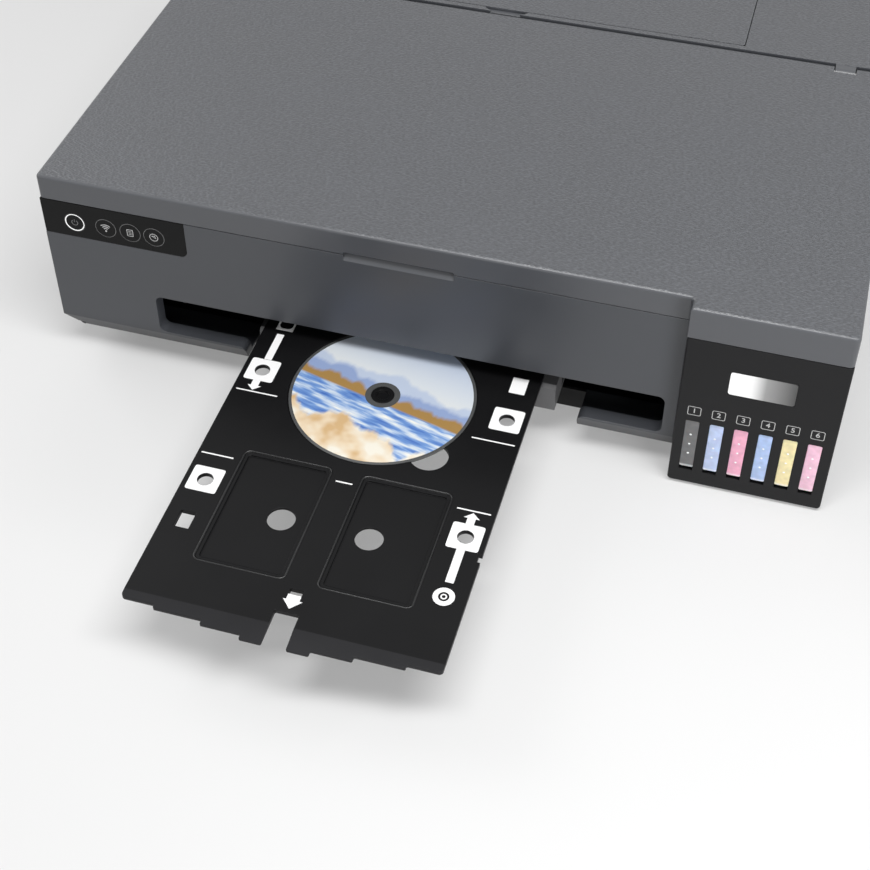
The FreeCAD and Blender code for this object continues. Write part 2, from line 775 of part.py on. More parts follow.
def ink_tanks():
    """Six clear tanks with a filling neck, and two ears with a pin that the cap turns on."""
    made = []
    front = tank_front_y + wall + 0.5
    for number in range(tank_count):
        x = tank_x(number)
        outer = block((x - tank_width / 2, x + tank_width / 2), (front, tank_back), (tank_bottom, tank_top))
        outer = rounded(outer, 1.2, "z")
        neck = rod("z", neck_radius, (tank_top - 1, tank_top + neck_height), (x, neck_y))
        ears = []
        for side in (-1, 1):
            ear_x = sorted((x + side * neck_radius, x + side * (neck_radius + 1.5)))
            ears.append(block(ear_x, (cap_hinge_y - 2.0, cap_hinge_y + 2.0), (tank_top - 1, cap_hinge_z)))
            ears.append(rod("x", 2.0, ear_x, (cap_hinge_y, cap_hinge_z)))
        pin_half_length = neck_radius + 0.8
        pin_x = (x - pin_half_length, x + pin_half_length)
        pin = rod("x", trunnion_radius, pin_x, (cap_hinge_y, cap_hinge_z))
        tank = join([outer, neck, pin] + ears)
        hollow = block((x - tank_width / 2 + tank_wall, x + tank_width / 2 - tank_wall),
                       (front + tank_wall, tank_back - tank_wall),
                       (tank_bottom + tank_wall, tank_top - tank_wall))
        tank = tank.cut(hollow)
        made.append(tank.cut(rod("z", neck_radius - 1.6, (tank_top - 5, tank_top + 5), (x, neck_y))))
    return made


def tank_cap(number):
    """Flip cap: a round lid over the neck, a plug into it and an arm that clips on the tank's pin."""
    x = tank_x(number)
    low = tank_top + neck_height + slide_gap
    disc = rod("z", cap_radius, (low, low + cap_height), (x, neck_y))
    tab_y = (neck_y - cap_radius - 4.0, neck_y - 3.0)
    tab = slab("z", (x - neck_radius / 2, x + neck_radius / 2), tab_y, (low + 1.5, low + 3.5), 1.2)
    arm = block((x - 3.6, x + 3.6), (neck_y + 3.0, cap_hinge_y), (low, low + 2.6))
    barrel_half = neck_radius - 0.4
    barrel = rod("x", 2.3, (x - barrel_half, x + barrel_half), (cap_hinge_y, cap_hinge_z))
    plug = rod("z", neck_radius - 2.2, (low - 1.8, low + 1.0), (x, neck_y))
    cap = join([disc, tab, arm, barrel, plug])
    return cap.cut(rod("x", trunnion_radius + running, (x - 6, x + 6), (cap_hinge_y, cap_hinge_z)))


# ---------------------------------------------------------------- control panel

def control_panel():
    """Glossy inset plate with a round hole for each button."""
    plate = block((panel_play, panel_width - panel_play), (0, panel_thickness),
                  (panel_top - panel_drop + panel_play, panel_top - seam))
    plate = rounded(plate, panel_corner - panel_play, "y", lambda c: c.x > 10 and c.z < button_z)
    for name, x in button_places.items():
        hole = light_ring_radius + running if name == "power_button" else button_radius + panel_play
        plate = plate.cut(rod("y", hole, (-1, 5), (x, button_z)))
    return plate


def push_button(name):
    """Round key, flush with the panel, with a collar behind the panel's backing that stops it."""
    x = button_places[name]
    radius = power_button_radius if name == "power_button" else button_radius
    key = rod("y", radius, (-0.1, button_length - 1.5), (x, button_z))
    hole = light_ring_radius if name == "power_button" else button_radius
    collar_y = (panel_thickness + panel_backing + slide_gap, button_length)
    collar = rod("y", hole + button_collar, collar_y, (x, button_z))
    return join([key, collar])


def power_light_ring():
    """Clear ring that lights up round the power key."""
    place = (button_places["power_button"], button_z)
    span = (-0.15, panel_thickness + panel_backing)
    return ring("y", light_ring_radius, power_button_radius + panel_play, span, place)


# ---------------------------------------------------------------- disc tray and output tray

def disc_tray():
    """Flat tray: disc recess with its hub, two card recesses, finger holes, sensor holes, sloping lip."""
    half = tray_width / 2
    notch = tray_notch_width / 2
    outline = []
    inner = [reach for reach, step in tray_steps[1:]] + [notch]
    for (reach, step), nearer in zip(tray_steps, inner):
        outline += [(reach, -tray_front - step), (nearer, -tray_front - step)]
    outline[0] = (half, -tray_front - tray_steps[0][1])
    outline.append((notch, -tray_front + tray_notch_depth))
    right = [(feed_centre + x, y) for x, y in outline]
    left = [(feed_centre - x, y) for x, y in reversed(outline)]
    corners = right + left + [(feed_centre - half, tray_back), (feed_centre + half, tray_back)]
    top = path_top
    tray = prism("z", corners, (path_height, top))
    tray = rounded(tray, 1.0, "z", lambda c: abs(c.x - feed_centre) < half - 1)
    tray = rounded(tray, 2.5, "z", lambda c: abs(c.x - feed_centre) > half - 1)
    longest = tray_steps[-1][1]
    wedge = [(-tray_front, top), (-tray_front, top + 2), (-tray_front - longest - 1, top + 2),
             (-tray_front - longest - 1, top - tray_lip_drop)]
    tray = tray.cut(prism("x", wedge, (0, body_width)))

    disc_place = (feed_centre, disc_y)
    recess_z = (top - disc_recess_depth, top + 1)
    tray = tray.cut(ring("z", disc_radius + disc_gap, disc_hole_radius - 0.1, recess_z, disc_place))
    tray = tray.cut(rod("z", hub_dimple_radius, recess_z, disc_place))
    for side in (-1, 1):
        x = feed_centre + side * card_spacing / 2
        steps = ((0.0, card_border_depth, 3.0), (card_border, card_border_depth + card_depth, 2.0))
        for inset, depth, radius in steps:
            half_x = card_width / 2 - inset
            half_y = card_length / 2 - inset
            recess_y = (card_y - half_y, card_y + half_y)
            tray = tray.cut(slab("z", (x - half_x, x + half_x), recess_y, (top - depth, top + 1), radius))

    through = (path_height - 1, top + 1)
    dx, dy = disc_finger_place
    holes = [rod("z", disc_finger_radius, through, (feed_centre + dx, disc_y + dy))]
    for dx, dy in card_finger_places:
        holes.append(rod("z", card_finger_radius, through, (feed_centre + dx, card_y + dy)))
    for side in (-1, 1):
        for dy in sensor_hole_y:
            place = (feed_centre + side * sensor_hole_x, disc_y + dy)
            holes.append(rod("z", sensor_hole_radius, through, place))
    holes.append(block((feed_centre - 86.0, feed_centre - 76.6), (card_y - 24.4, card_y - 11.7), through))
    holes.append(block((feed_centre - 3.8, feed_centre + 4.1), (card_y - 53.0, card_y - 49.0), through))
    edge_notch = (feed_centre + half - 2.0, feed_centre + half + 1)
    holes.append(block(edge_notch, (card_y - 1.6, card_y + 4.0), through))
    for hole in holes:
        tray = tray.cut(hole)
    return tray


def disc():
    """Printable disc, 120 mm across, resting in the tray."""
    low = path_top - disc_recess_depth + running
    return ring("z", disc_radius, disc_hole_radius, (low, low + disc_thickness), (feed_centre, disc_y))


def output_leaf(order):
    """Half width and Z span of one leaf of the output tray, counted from the rear one, which lies lowest."""
    low = output_floor + order * (output_sheet + slide_gap)
    return output_width / 2 - channel_step * order, (low, low + output_sheet)


def output_stage(name):
    """One leaf of the output tray. The front leaf ends in the hollow box that shows in the slot."""
    order = list(output_lengths).index(name)
    half, leaf_z = output_leaf(order)
    box_back = output_front_y + output_front_depth
    start = box_back + 2 * slide_gap
    if name != "front":
        leaf = block((slot_centre - half, slot_centre + half), (start, start + output_lengths[name]), leaf_z)
        next_half, next_z = output_leaf(order + 1)
        lip_z = (next_z[1] + slide_gap, next_z[1] + slide_gap + channel_wall)
        web = next_half + slide_gap
        web_outer = web + channel_wall
        pieces = [leaf]
        for side in (-1, 1):
            web_x = sorted((slot_centre + side * web, slot_centre + side * web_outer))
            lip_x = sorted((slot_centre + side * (next_half - channel_lip), slot_centre + side * web_outer))
            pieces.append(block(web_x, (start, start + output_lengths[name]), (leaf_z[0], lip_z[1])))
            pieces.append(block(lip_x, (start, start + output_lengths[name]), lip_z))
        return join(pieces)
    outer_x = (slot_centre - output_width / 2, slot_centre + output_width / 2)
    box = block(outer_x, (output_front_y, box_back), (output_floor, path_bottom))
    top_edges = [
        e for e in box.Edges
        if e.CenterOfMass.z > path_bottom - 0.01 and e.CenterOfMass.y < output_front_y + 0.01
    ]
    box = box.makeChamfer(2.4, top_edges)
    hollow = block((outer_x[0] + output_sheet, outer_x[1] - output_sheet),
                   (output_front_y + output_front_wall, box_back + 1),
                   (output_floor + output_sheet, path_bottom - output_sheet))
    leaf_y = (output_front_y + output_front_wall / 2, output_front_y + output_lengths[name])
    leaf = block((slot_centre - half, slot_centre + half), leaf_y, leaf_z)
    return join([box.cut(hollow), leaf])


# ---------------------------------------------------------------- print mechanism

def side_frames():
    """Two steel side plates that carry every shaft and the hopper's pivots."""
    floor = case_floor + wall + 0.1
    tall = overall_height - 21.0
    rear = body_depth - 20.0
    half_ear = 8.0
    ear_top = idler_z + idler_shaft + 3.5
    low_top = path_height - 1.0
    front = output_roller_y - half_ear - 6.0
    back = rail_y + rail_sheet + slide_gap
    outline = [(front, floor), (rear, floor), (rear, tall), (back, tall), (back, low_top)]
    for middle in (feed_roller_y, output_roller_y):
        outline += [
            (middle + half_ear, low_top), (middle + half_ear, ear_top), (middle - half_ear, ear_top),
            (middle - half_ear, low_top),
        ]
    outline.append((front, low_top))
    top_y, top_z = hopper_pivot()
    pick_y, pick_z = pickup_centre()
    shafts = [
        (roller_shaft, output_roller_y, roller_z), (roller_shaft, feed_roller_y, roller_z),
        (idler_shaft, output_roller_y, idler_z), (idler_shaft, feed_roller_y, idler_z),
        (pivot_radius, top_y, top_z), (roller_shaft, pick_y, pick_z),
    ]
    made = []
    for x in (left_frame_x, right_frame_x):
        plate = prism("x", outline, (x - frame_sheet / 2, x + frame_sheet / 2))
        for radius, y, z in shafts:
            plate = plate.cut(rod("x", radius + running, (x - 5, x + 5), (y, z)))
        made.append(plate)
    hole = rod("x", 3.5, (left_frame_x - 5, left_frame_x + 5), (feed_motor_y, feed_motor_z))
    made[0] = made[0].cut(hole)
    return made


def carriage_rail():
    """Folded steel rail. Its two ends hold the guide shaft, and small hooks hold the encoder strip."""
    middle_y = rail_y + rail_sheet / 2
    pieces = [block(rail_x, (rail_y, rail_y + rail_sheet), rail_z)]
    for x in (rail_x[0], rail_x[1] - rail_sheet):
        pieces.append(block((x, x + rail_sheet), (shaft_y - 9.0, middle_y), (shaft_z - 11.0, shaft_z + 11.0)))
    for x in (rail_x[0] + 4.0, rail_x[1] - 4.0 - rail_sheet):
        pieces.append(block((x, x + rail_sheet), (rail_y - 3.4, middle_y), strip_z))
    rail = join(pieces)
    rail = rail.cut(rod("x", shaft_radius + running, (rail_x[0] - 1, rail_x[1] + 1), (shaft_y, shaft_z)))
    for x in (drive_x, idler_x):
        rail = rail.cut(rod("y", 3.5, (rail_y - 1, rail_y + 3), (x, pulley_z)))
    return rail


def guide_shaft():
    """Polished shaft that the carriage slides on."""
    return rod("x", shaft_radius, (rail_x[0] - 3.0, rail_x[1] + 3.0), (shaft_y, shaft_z))


def encoder_strip():
    """Thin strip that tells the carriage where it is."""
    x = (rail_x[0] + 4.5, rail_x[1] - 4.5)
    return block(x, (rail_y - 4.2, rail_y - 3.7), (strip_z[0] + 1.0, strip_z[1] - 1.0))


def carriage():
    """Box that carries the print head, with a bearing on the guide shaft and an arm to the belt."""
    x = (carriage_rest_x, carriage_rest_x + carriage_width)
    body = block(x, carriage_y, carriage_z)
    body = rounded(body, 3.0, "z")
    body = rounded(body, 2.0, "x", lambda c: c.z > carriage_z[1] - 1)
    bearing_z = (shaft_z - bearing_half, shaft_z + bearing_half)
    bearing = block(x, (carriage_y[1] - 1, shaft_y + bearing_half - 1), bearing_z)
    arm = block((x[0] + 24.0, x[1] - 24.0), (shaft_y + shaft_radius, belt_y - slide_gap),
                (pulley_z - 5.0, pulley_z + pulley_radius + belt_thickness + 1))
    whole = join([body, bearing, arm])
    whole = whole.cut(rod("x", shaft_radius + running, (x[0] - 1, x[1] + 1), (shaft_y, shaft_z)))
    pocket = block((x[0] + carriage_shell, x[1] - carriage_shell),
                   (carriage_y[0] + carriage_shell, carriage_y[1] - carriage_shell),
                   (carriage_z[0] - 1, carriage_z[1] - 2 * carriage_shell))
    return whole.cut(pocket)


def print_head():
    """Block of nozzles in the carriage, its face just above the path."""
    inset = carriage_shell + slide_gap
    x = (carriage_rest_x + inset, carriage_rest_x + carriage_width - inset)
    y = (carriage_y[0] + inset, carriage_y[1] - inset)
    body = block(x, y, (carriage_z[0] + 1.0, carriage_z[0] + 30.0))
    face = block((x[0] + 6.0, x[1] - 6.0), (y[0] + 6.0, y[1] - 14.0), (path_top + 1.2, carriage_z[0] + 2.0))
    return join([body, face])


def motors():
    """Two small motors: one behind the rail for the carriage, one on the left frame for the rollers."""
    bore = motor_shaft + running
    start_y = rail_y + rail_sheet + slide_gap
    carriage_motor = ring("y", motor_radius, bore, (start_y, start_y + motor_length), (drive_x, pulley_z))
    feed_x = (inside_frames[0], inside_frames[0] + motor_length)
    feed_motor = ring("x", motor_radius - 1.5, bore, feed_x, (feed_motor_y, feed_motor_z))
    return [carriage_motor, feed_motor]


def belt_pulley(x, back_y):
    """Pulley for the carriage belt, with a rim at each side and its own shaft through the rail."""
    y = (belt_y, belt_y + belt_width)
    wheel = rod("y", pulley_radius, y, (x, pulley_z))
    rim = pulley_radius + 2.4
    rims = [rod("y", rim, (edge - 0.5, edge + 0.5), (x, pulley_z)) for edge in (y[0] - 0.8, y[1] + 0.8)]
    hub = rod("y", motor_hub, (y[0] - 1.2, rail_y - slide_gap), (x, pulley_z))
    shaft = rod("y", motor_shaft, (y[0], back_y), (x, pulley_z))
    return join([wheel, hub, shaft] + rims)


def timing_belt():
    """Toothed belt that pulls the carriage, drawn plain."""
    wheels = [(drive_x, pulley_z, pulley_radius), (idler_x, pulley_z, pulley_radius)]
    return belt("y", wheels, (belt_y, belt_y + belt_width - 0.4))


def drive_roller(y, covered):
    """Steel roller shaft with its rubber sleeves, and its pulley outside the left frame, as two solids."""
    shaft = rod("x", roller_shaft, (pulley_x[0] - 1.5, right_frame_x + shaft_end), (y, roller_z))
    sleeves = [rod("x", roller_radius, span, (y, roller_z)) for span in covered]
    pulley = ring("x", roller_pulley_radius, roller_shaft + 0.02, pulley_x, (y, roller_z))
    return [join([shaft] + sleeves), pulley]


def feed_roller():
    """Long grip roller behind the print zone."""
    return drive_roller(feed_roller_y, [(left_frame_x + 8.0, right_frame_x - 8.0)])


def output_roller():
    """Roller with ten short sleeves behind the front slot."""
    usable = right_frame_x - left_frame_x - 40.0
    starts = [left_frame_x + 14.0 + usable * step / 9 for step in range(10)]
    return drive_roller(output_roller_y, [(start, start + 12.0) for start in starts])


def motor_pulley():
    """Small pulley on the feed motor's shaft."""
    wheel = rod("x", feed_motor_pulley_radius, pulley_x, (feed_motor_y, feed_motor_z))
    hub_x = (pulley_x[1] - 1, left_frame_x - frame_sheet / 2 - 2 * slide_gap)
    hub = rod("x", motor_hub, hub_x, (feed_motor_y, feed_motor_z))
    shaft = rod("x", motor_shaft, (pulley_x[0], left_frame_x + 24.0), (feed_motor_y, feed_motor_z))
    return join([wheel, hub, shaft])


def feed_belt():
    """Belt from the motor's pulley round the pulleys of both rollers."""
    wheels = [
        (feed_motor_y, feed_motor_z, feed_motor_pulley_radius),
        (feed_roller_y, roller_z, roller_pulley_radius),
        (output_roller_y, roller_z, roller_pulley_radius),
    ]
    return belt("x", wheels, (pulley_x[0] + 0.5, pulley_x[1] - 0.5))


def idler_row(y, count, width):
    """A thin shaft across both frames with small free wheels on it."""
    shaft = rod("x", idler_shaft, (left_frame_x - shaft_end, right_frame_x + shaft_end), (y, idler_z))
    usable = right_frame_x - left_frame_x - 24.0 - width
    wheels = []
    for step in range(count):
        start = left_frame_x + 12.0 + usable * step / (count - 1)
        wheels.append(rod("x", idler_wheel_radius, (start, start + width), (y, idler_z)))
    return join([shaft] + wheels)


def platen():
    """Ribbed bed under the print head, between the rollers, held by the side frames."""
    x = inside_frames
    y = (output_roller_y + roller_radius + 3.0, feed_roller_y - roller_radius - 2.0)
    top = path_bottom - 0.3
    bed = block(x, y, (top - 5.0, top - 1.2))
    ribs = []
    count = 23
    for step in range(count):
        rib_x = x[0] + 8.0 + (x[1] - x[0] - 18.0) * step / (count - 1)
        ribs.append(block((rib_x, rib_x + 1.6), y, (top - 2.0, top)))
    return join([bed] + ribs)


def capping_unit():
    """Parking station: a box with a rubber cap under the parked print head and a small pump beside it."""
    x = (carriage_rest_x, carriage_rest_x + carriage_width)
    y = (tank_case_back + seam + wall + 0.5, carriage_y[1])
    floor = case_floor + wall
    base_top = path_height - 7.0
    base = block(x, y, (floor, base_top))
    base = base.cut(block((x[0] + 3, x[1] - 3), (y[0] + 3, y[1] - 3), (floor + 5.5, base_top + 1)))
    cup = block((x[0] + 8, x[1] - 8), (y[0] + 2, y[1] - 12), (base_top - 3.0, path_top + 0.8))
    cup = cup.cut(block((x[0] + 11, x[1] - 11), (y[0] + 5, y[1] - 15), (base_top + 4.0, path_top + 2.0)))
    return join([base, cup])


# ---------------------------------------------------------------- rear feeder

def hopper_pivot():
    """Y and Z of the hopper's top edge, which it tilts about."""
    return body_depth - hopper_top_inset, overall_height - hopper_top_drop


def on_hopper(along, out):
    """Y and Z of a point that lies so far up the hopper from its low edge, and so far out from it."""
    top_y, top_z = hopper_pivot()
    low_y = top_y - hopper_length * math.cos(hopper_angle)
    low_z = top_z - hopper_length * math.sin(hopper_angle)
    y = low_y + along * math.cos(hopper_angle) - out * math.sin(hopper_angle)
    z = low_z + along * math.sin(hopper_angle) + out * math.cos(hopper_angle)
    return y, z


def pickup_centre():
    """Y and Z of the pickup roller."""
    return on_hopper(pickup_along, hopper_sheet / 2 + pickup_gap + pickup_radius)


def leaning(along, out, x):
    """A bar that follows the hopper's slope: pairs along it, out from it and in X."""
    places = ((along[0], out[0]), (along[1], out[0]), (along[1], out[1]), (along[0], out[1]))
    return prism("x", [on_hopper(a, b) for a, b in places], x)


def hopper_plate():
    """Sloping plate that the sheets lean on, with a pivot at each top corner."""
    x = (feed_centre - sheet_width / 2 + hopper_margin, feed_centre + sheet_width / 2 - hopper_margin)
    half = hopper_sheet / 2
    plate = leaning((0, hopper_length), (-half, half), x)
    pad = leaning((8.0, 30.0), (-half - 1.5, half), (feed_centre - 18.0, feed_centre + 18.0))
    pivot = rod("x", pivot_radius, (left_frame_x - frame_sheet, right_frame_x + frame_sheet), hopper_pivot())
    return join([plate, pad, pivot])


def edge_guide(side):
    """Guide for one edge of the sheets, with a foot that slides on the hopper. side is -1 or 1."""
    face = feed_centre + side * guide_paper
    half = hopper_sheet / 2 + slide_gap
    fence = leaning((18.0, 84.0), (half, guide_height), sorted((face, face + side * guide_sheet)))
    foot = leaning((24.0, 70.0), (half, half + 1.8), sorted((face, face + side * guide_foot)))
    grip = leaning((60.0, 84.0), (half, guide_height), sorted((face, face + side * 6.0)))
    return join([fence, foot, grip])


def pickup_roller():
    """Rubber roller on its steel shaft, which takes the top sheet from the hopper."""
    centre = pickup_centre()
    shaft = rod("x", roller_shaft, (left_frame_x - shaft_end, right_frame_x + shaft_end), centre)
    tyre = rod("x", pickup_radius, (feed_centre - pickup_width / 2, feed_centre + pickup_width / 2), centre)
    boss_places = (feed_centre - 80.0, feed_centre + 80.0)
    bosses = [rod("x", roller_radius, (x - 8.0, x + 8.0), centre) for x in boss_places]
    return join([shaft, tyre] + bosses)


def paper_chute():
    """Curved plate that leads sheets from the hopper down to the feed roller, above the disc tray's path."""
    low_y, low_z = on_hopper(0, 0)
    low = path_top + 0.8
    start = feed_roller_y + idler_wheel_radius + 4.0
    profile = [
        (start, low), (low_y - 2.0, low), (low_y + 3.0, low_z - 3.6), (low_y + 1.6, low_z - 2.2),
        (low_y - 4.0, low + chute_sheet), (start, low + chute_sheet),
    ]
    return prism("x", profile, inside_frames)


# ---------------------------------------------------------------- electrics and waste ink

def power_supply():
    """Boxed supply at the left rear."""
    x = (left_frame_x + 6.0, left_frame_x + 66.0)
    return slab("z", x, (body_depth - 160.0, body_depth - 26.0), (case_floor + wall + 0.1, 40.0), 2.0)


def power_inlet():
    """Two-pin inlet in the rear cover: a socket body with its recess and two pins."""
    x = (inlet_x - inlet_half[0], inlet_x + inlet_half[0])
    z = (inlet_z - inlet_half[1], inlet_z + inlet_half[1])
    body = block(x, (body_depth - 25.7, body_depth - 0.5), z)
    lobe_x = (inlet_x - inlet_lobe[0], inlet_x + inlet_lobe[0])
    lobes = [(lobe, inlet_z, inlet_lobe[1]) for lobe in lobe_x]
    body = body.cut(wrap("y", lobes, 0.0, (body_depth - 13.0, body_depth + 1)))
    pins = [rod("y", 1.2, (body_depth - 15.0, body_depth - 4.0), (lobe, inlet_z)) for lobe in lobe_x]
    return join([body] + pins)


def main_board():
    """Main circuit board at the right rear, on four posts, with chips and the data socket."""
    x = (right_frame_x - 72.0, right_frame_x - 6.0)
    y = (body_depth - 159.0, body_depth - 19.5)
    board_z = socket_z[0] - 1.8
    board = block(x, y, (board_z, board_z + 1.6))
    floor = case_floor + wall
    posts = [rod("z", 3.0, (floor, board_z + 0.5), (px, py))
             for px in (x[0] + 6, x[1] - 6) for py in (y[0] + 6, y[1] - 8)]
    chips = [
        block((x[0] + 14, x[0] + 40), (y[0] + 30, y[0] + 56), (board_z + 1, board_z + 4)),
        block((x[0] + 14, x[0] + 34), (y[0] + 70, y[0] + 84), (board_z + 1, board_z + 4)),
        block((x[0] + 42, x[0] + 62), (y[0] + 20, y[0] + 28), (board_z + 1, board_z + 9)),
    ]
    socket = block(socket_x, (body_depth - 21.0, body_depth - 0.4), (socket_z[0] - 0.4, socket_z[1]))
    socket = socket.cut(block((socket_x[0] + 1.6, socket_x[1] - 1.6), (body_depth - 12.0, body_depth + 1),
                              (socket_z[0] + 1.6, socket_z[1] - 1.6)))
    return join([board, socket] + posts + chips)


def waste_ink_box():
    """Box with the pad that soaks up waste ink, at the right rear."""
    x = (body_width + 4.0, overall_width - side_taper - 8.0)
    y = (rail_y + 12.0, body_depth - 34.0)
    z = (case_floor + wall + 0.1, 36.0)
    box = block(x, y, z)
    return box.cut(block((x[0] + 2, x[1] - 2), (y[0] + 2, y[1] - 2), (z[0] + 2, z[1] + 1)))


# ---------------------------------------------------------------- output

def build():
    """Writes every node."""
    os.makedirs("parts", exist_ok=True)
    single = (
        bottom_case, feet, front_panel, left_cover, right_cover, rear_cover, screws, lid, lid_hinge_pins,
        rear_deck, paper_support, front_deck, ink_tubes, tank_case, badge, ink_tanks, control_panel,
        power_light_ring, disc_tray, disc, side_frames, carriage_rail, guide_shaft, encoder_strip, carriage,
        print_head, motors, timing_belt, feed_roller, output_roller, motor_pulley, feed_belt, platen,
        capping_unit, hopper_plate, pickup_roller, paper_chute, power_supply, power_inlet, main_board,
        waste_ink_box,
    )
    for piece in single:
        write(piece.__name__, piece())
    for name in button_places:
        write(name, push_button(name))
    for number in range(tank_count):
        write("tank_cap_%d" % (number + 1), tank_cap(number))
    for name in output_lengths:
        write("output_tray_" + name, output_stage(name))
    write("drive_pulley", belt_pulley(drive_x, rail_y + 20.0))
    write("idler_pulley", belt_pulley(idler_x, rail_y + 6.0))
    write("pinch_rollers", idler_row(feed_roller_y, 8, 22.0))
    write("star_wheels", idler_row(output_roller_y, 14, 1.4))
    write("edge_guide_left", edge_guide(-1))
    write("edge_guide_right", edge_guide(1))


build()
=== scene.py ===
import math

import bpy
import numpy as np
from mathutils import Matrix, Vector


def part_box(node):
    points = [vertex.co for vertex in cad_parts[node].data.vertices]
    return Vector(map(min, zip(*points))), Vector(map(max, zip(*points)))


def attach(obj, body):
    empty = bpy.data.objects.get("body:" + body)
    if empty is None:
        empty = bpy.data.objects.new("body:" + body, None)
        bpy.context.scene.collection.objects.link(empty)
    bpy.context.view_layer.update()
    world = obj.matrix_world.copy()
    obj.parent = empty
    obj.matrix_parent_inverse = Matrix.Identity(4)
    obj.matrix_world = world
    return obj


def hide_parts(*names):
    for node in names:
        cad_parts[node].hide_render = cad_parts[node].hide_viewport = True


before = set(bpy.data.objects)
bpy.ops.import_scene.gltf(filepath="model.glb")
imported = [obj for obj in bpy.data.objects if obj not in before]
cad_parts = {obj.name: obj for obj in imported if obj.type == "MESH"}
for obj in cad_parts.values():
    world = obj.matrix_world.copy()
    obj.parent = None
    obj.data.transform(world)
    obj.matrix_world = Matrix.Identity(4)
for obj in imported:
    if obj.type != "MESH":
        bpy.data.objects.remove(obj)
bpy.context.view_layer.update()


# Bottom case, feet and screws.
# The pan is moulded in black polystyrene with a coarse grain, and everything else bolts down into it. Five
# rubber feet are pressed into its floor, and steel cross-head screws hold the rear cover.

mm = 0.001


def add(tree, kind, inputs=None, **fields):
    """Puts one node into a material. Each of its inputs takes a number, a colour or another node's output."""
    made = tree.nodes.new("ShaderNode" + kind)
    for field, value in fields.items():
        setattr(made, field, value)
    for socket, value in (inputs or {}).items():
        if isinstance(value, bpy.types.NodeSocket):
            tree.links.new(value, made.inputs[socket])
        else:
            made.inputs[socket].default_value = value
    return made


def blank_finish(name, settings):
    """A new material, its node tree and its surface shader, with the given values on the shader's sockets."""
    finish = bpy.data.materials.new(name)
    finish.use_nodes = True
    shader = finish.node_tree.nodes["Principled BSDF"]
    for socket, value in (settings or {}).items():
        shader.inputs[socket].default_value = value
    return finish, finish.node_tree, shader


def grey(tone, red=1.0, green=1.0, blue=1.0):
    """A colour: one tone times a slight tint."""
    return (tone * red, tone * green, tone * blue, 1.0)


def ramp(tree, factor, stops):
    """A colour band: the colour at each stop, blended in straight lines between stops."""
    band = add(tree, "ValToRGB", {"Fac": factor})
    marks = band.color_ramp.elements
    while len(marks) < len(stops):
        marks.new(0.5)
    ordered = sorted(stops, key=lambda stop: stop[0])
    for mark, (spot, colour) in zip(marks, ordered):
        mark.position = spot
    for mark, (spot, colour) in zip(marks, ordered):
        mark.color = colour
    return band.outputs["Color"]


def moulded(name, colour, roughness, relief, grain=0.45 * mm, drift=0.07, edge=0.3 * mm, settings=None):
    """Moulded plastic: the colour drifts by a share in broad clouds and fine specks, the sheen changes with the
    clouds, the mould's sparked grain is a fine relief, and sharp edges are eased by a small radius."""
    clouds_per_metre, speck_share, sheen_drift, grain_strength = 22.0, 0.35, 0.05, 0.6
    finish, tree, shader = blank_finish(name, settings)
    place = add(tree, "TexCoord").outputs["Object"]
    clouds = add(tree, "TexNoise", {"Vector": place, "Scale": clouds_per_metre, "Detail": 3.0}).outputs["Fac"]
    specks = add(tree, "TexNoise", {"Vector": place, "Scale": 1.0 / grain, "Detail": 2.0}).outputs["Fac"]
    mottle = add(tree, "Mix", {0: speck_share, 2: clouds, 3: specks}).outputs[0]
    low = tuple(part * (1 - drift) for part in colour[:3]) + (1.0,)
    high = tuple(part * (1 + drift) for part in colour[:3]) + (1.0,)
    tone = ramp(tree, mottle, [(0.3, low), (0.7, high)])
    sheen = add(tree, "MapRange", {"Value": clouds, "From Min": 0.3, "From Max": 0.7,
                                   "To Min": roughness - sheen_drift, "To Max": roughness + sheen_drift})
    eased = add(tree, "Bevel", {"Radius": edge}, samples=4)
    bump = add(tree, "Bump", {"Height": specks, "Distance": relief, "Strength": grain_strength,
                              "Normal": eased.outputs["Normal"]})
    tree.links.new(tone, shader.inputs["Base Color"])
    tree.links.new(sheen.outputs[0], shader.inputs["Roughness"])
    tree.links.new(bump.outputs["Normal"], shader.inputs["Normal"])
    return finish


def shade(finish, band):
    """Multiplies a finish's colour by a band of tones."""
    tree = finish.node_tree
    socket = tree.nodes["Principled BSDF"].inputs["Base Color"]
    tinted = add(tree, "Mix", {0: 1.0, 6: socket.links[0].from_socket, 7: band}, data_type="RGBA",
                 blend_type="MULTIPLY")
    tree.links.new(tinted.outputs[2], socket)


def shade_along(finish, axis, stops):
    """Paints light and shade onto a finish by place, from pairs of a distance along one axis and the share of
    its tone there.
    """
    tree = finish.node_tree
    place = add(tree, "SeparateXYZ", {0: add(tree, "TexCoord").outputs["Object"]}).outputs[axis]
    first, last = stops[0][0], stops[-1][0]
    share = add(tree, "MapRange", {"Value": place, "From Min": first, "From Max": last}).outputs[0]
    shade(finish, ramp(tree, share, [((spot - first) / (last - first), grey(tone)) for spot, tone in stops]))


